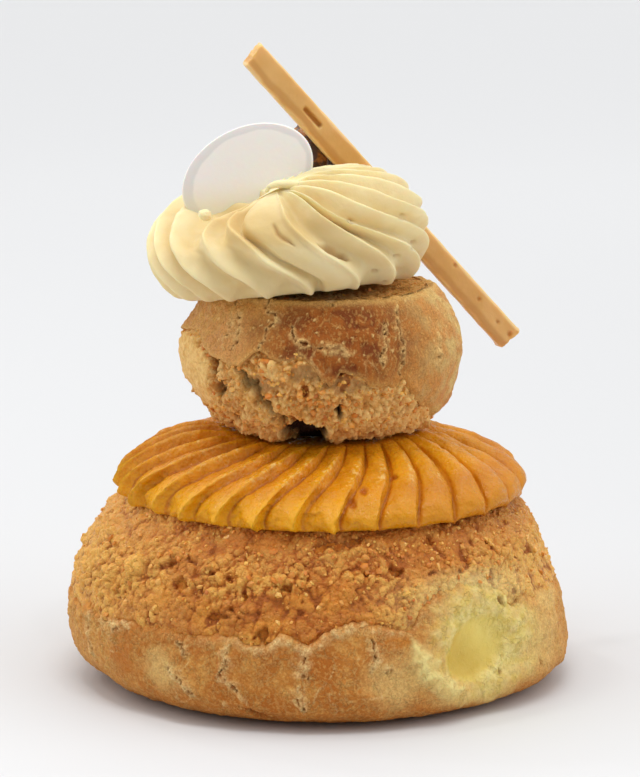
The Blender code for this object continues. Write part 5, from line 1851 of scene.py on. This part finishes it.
def studio_place(azimuth, elevation, distance=0.6):
    """A place round the pastry, for angles in degrees."""
    turn, rise = math.radians(azimuth), math.radians(elevation)
    return distance * Vector((math.sin(turn) * math.cos(rise),
                              -math.cos(turn) * math.cos(rise), math.sin(rise)))


def add_light(lamp, place):
    holder = bpy.data.objects.new(lamp.name, lamp)
    holder.location = place
    aim = Vector((0, 0, 0.04)) - place
    holder.rotation_euler = aim.to_track_quat("-Z", "Y").to_euler()
    bpy.context.scene.collection.objects.link(holder)


def make_camera(studio):
    """A long lens a little above the pastry, in front of it."""
    camera = bpy.data.cameras.new("camera")
    camera.lens = studio.lens
    camera.sensor_width = 36.0
    camera.clip_start = 0.01
    holder = bpy.data.objects.new("camera", camera)
    target = Vector((studio.target_x, 0.0, studio.target_height))
    away = Vector((0.0, -math.cos(studio.elevation), math.sin(studio.elevation)))
    holder.location = target + away * studio.distance
    holder.rotation_euler = (-away).to_track_quat("-Z", "Y").to_euler()
    bpy.context.scene.collection.objects.link(holder)
    bpy.context.scene.camera = holder
    bpy.context.scene.view_settings.view_transform = "Standard"


class PASTRY_PT_panel(bpy.types.Panel):
    """Lists the pastry's operators and settings."""

    bl_idname = "PASTRY_PT_panel"
    bl_label = "Religieuse"
    bl_space_type = "VIEW_3D"
    bl_region_type = "UI"
    bl_category = "Religieuse"

    def draw(self, context):
        for maker in OPERATORS:
            self.layout.operator(maker.bl_idname)
        for group in (context.scene.pastry_sizes, context.scene.pastry_colours,
                      context.scene.pastry_studio):
            box = self.layout.box()
            for key in group.bl_rna.properties.keys():
                if key not in ("rna_type", "name"):
                    box.prop(group, key)


OPERATORS = (PASTRY_OT_large_choux, PASTRY_OT_collar, PASTRY_OT_small_choux,
             PASTRY_OT_rosette, PASTRY_OT_garnish, PASTRY_OT_stage)
GROUPS = {"pastry_sizes": PastrySizes, "pastry_colours": PastryColours,
          "pastry_studio": StudioSettings}


def register():
    for group in (*GROUPS.values(), *OPERATORS, PASTRY_PT_panel):
        bpy.utils.register_class(group)
    for name, group in GROUPS.items():
        setattr(bpy.types.Scene, name, PointerProperty(type=group))


def unregister():
    for name in GROUPS:
        delattr(bpy.types.Scene, name)
    for group in reversed((*GROUPS.values(), *OPERATORS, PASTRY_PT_panel)):
        bpy.utils.unregister_class(group)


def main():
    register()
    bpy.ops.pastry.stage()
    bpy.ops.pastry.large_choux()
    bpy.ops.pastry.collar()
    bpy.ops.pastry.small_choux()
    bpy.ops.pastry.rosette()
    bpy.ops.pastry.garnish()


if __name__ == "__main__":
    main()
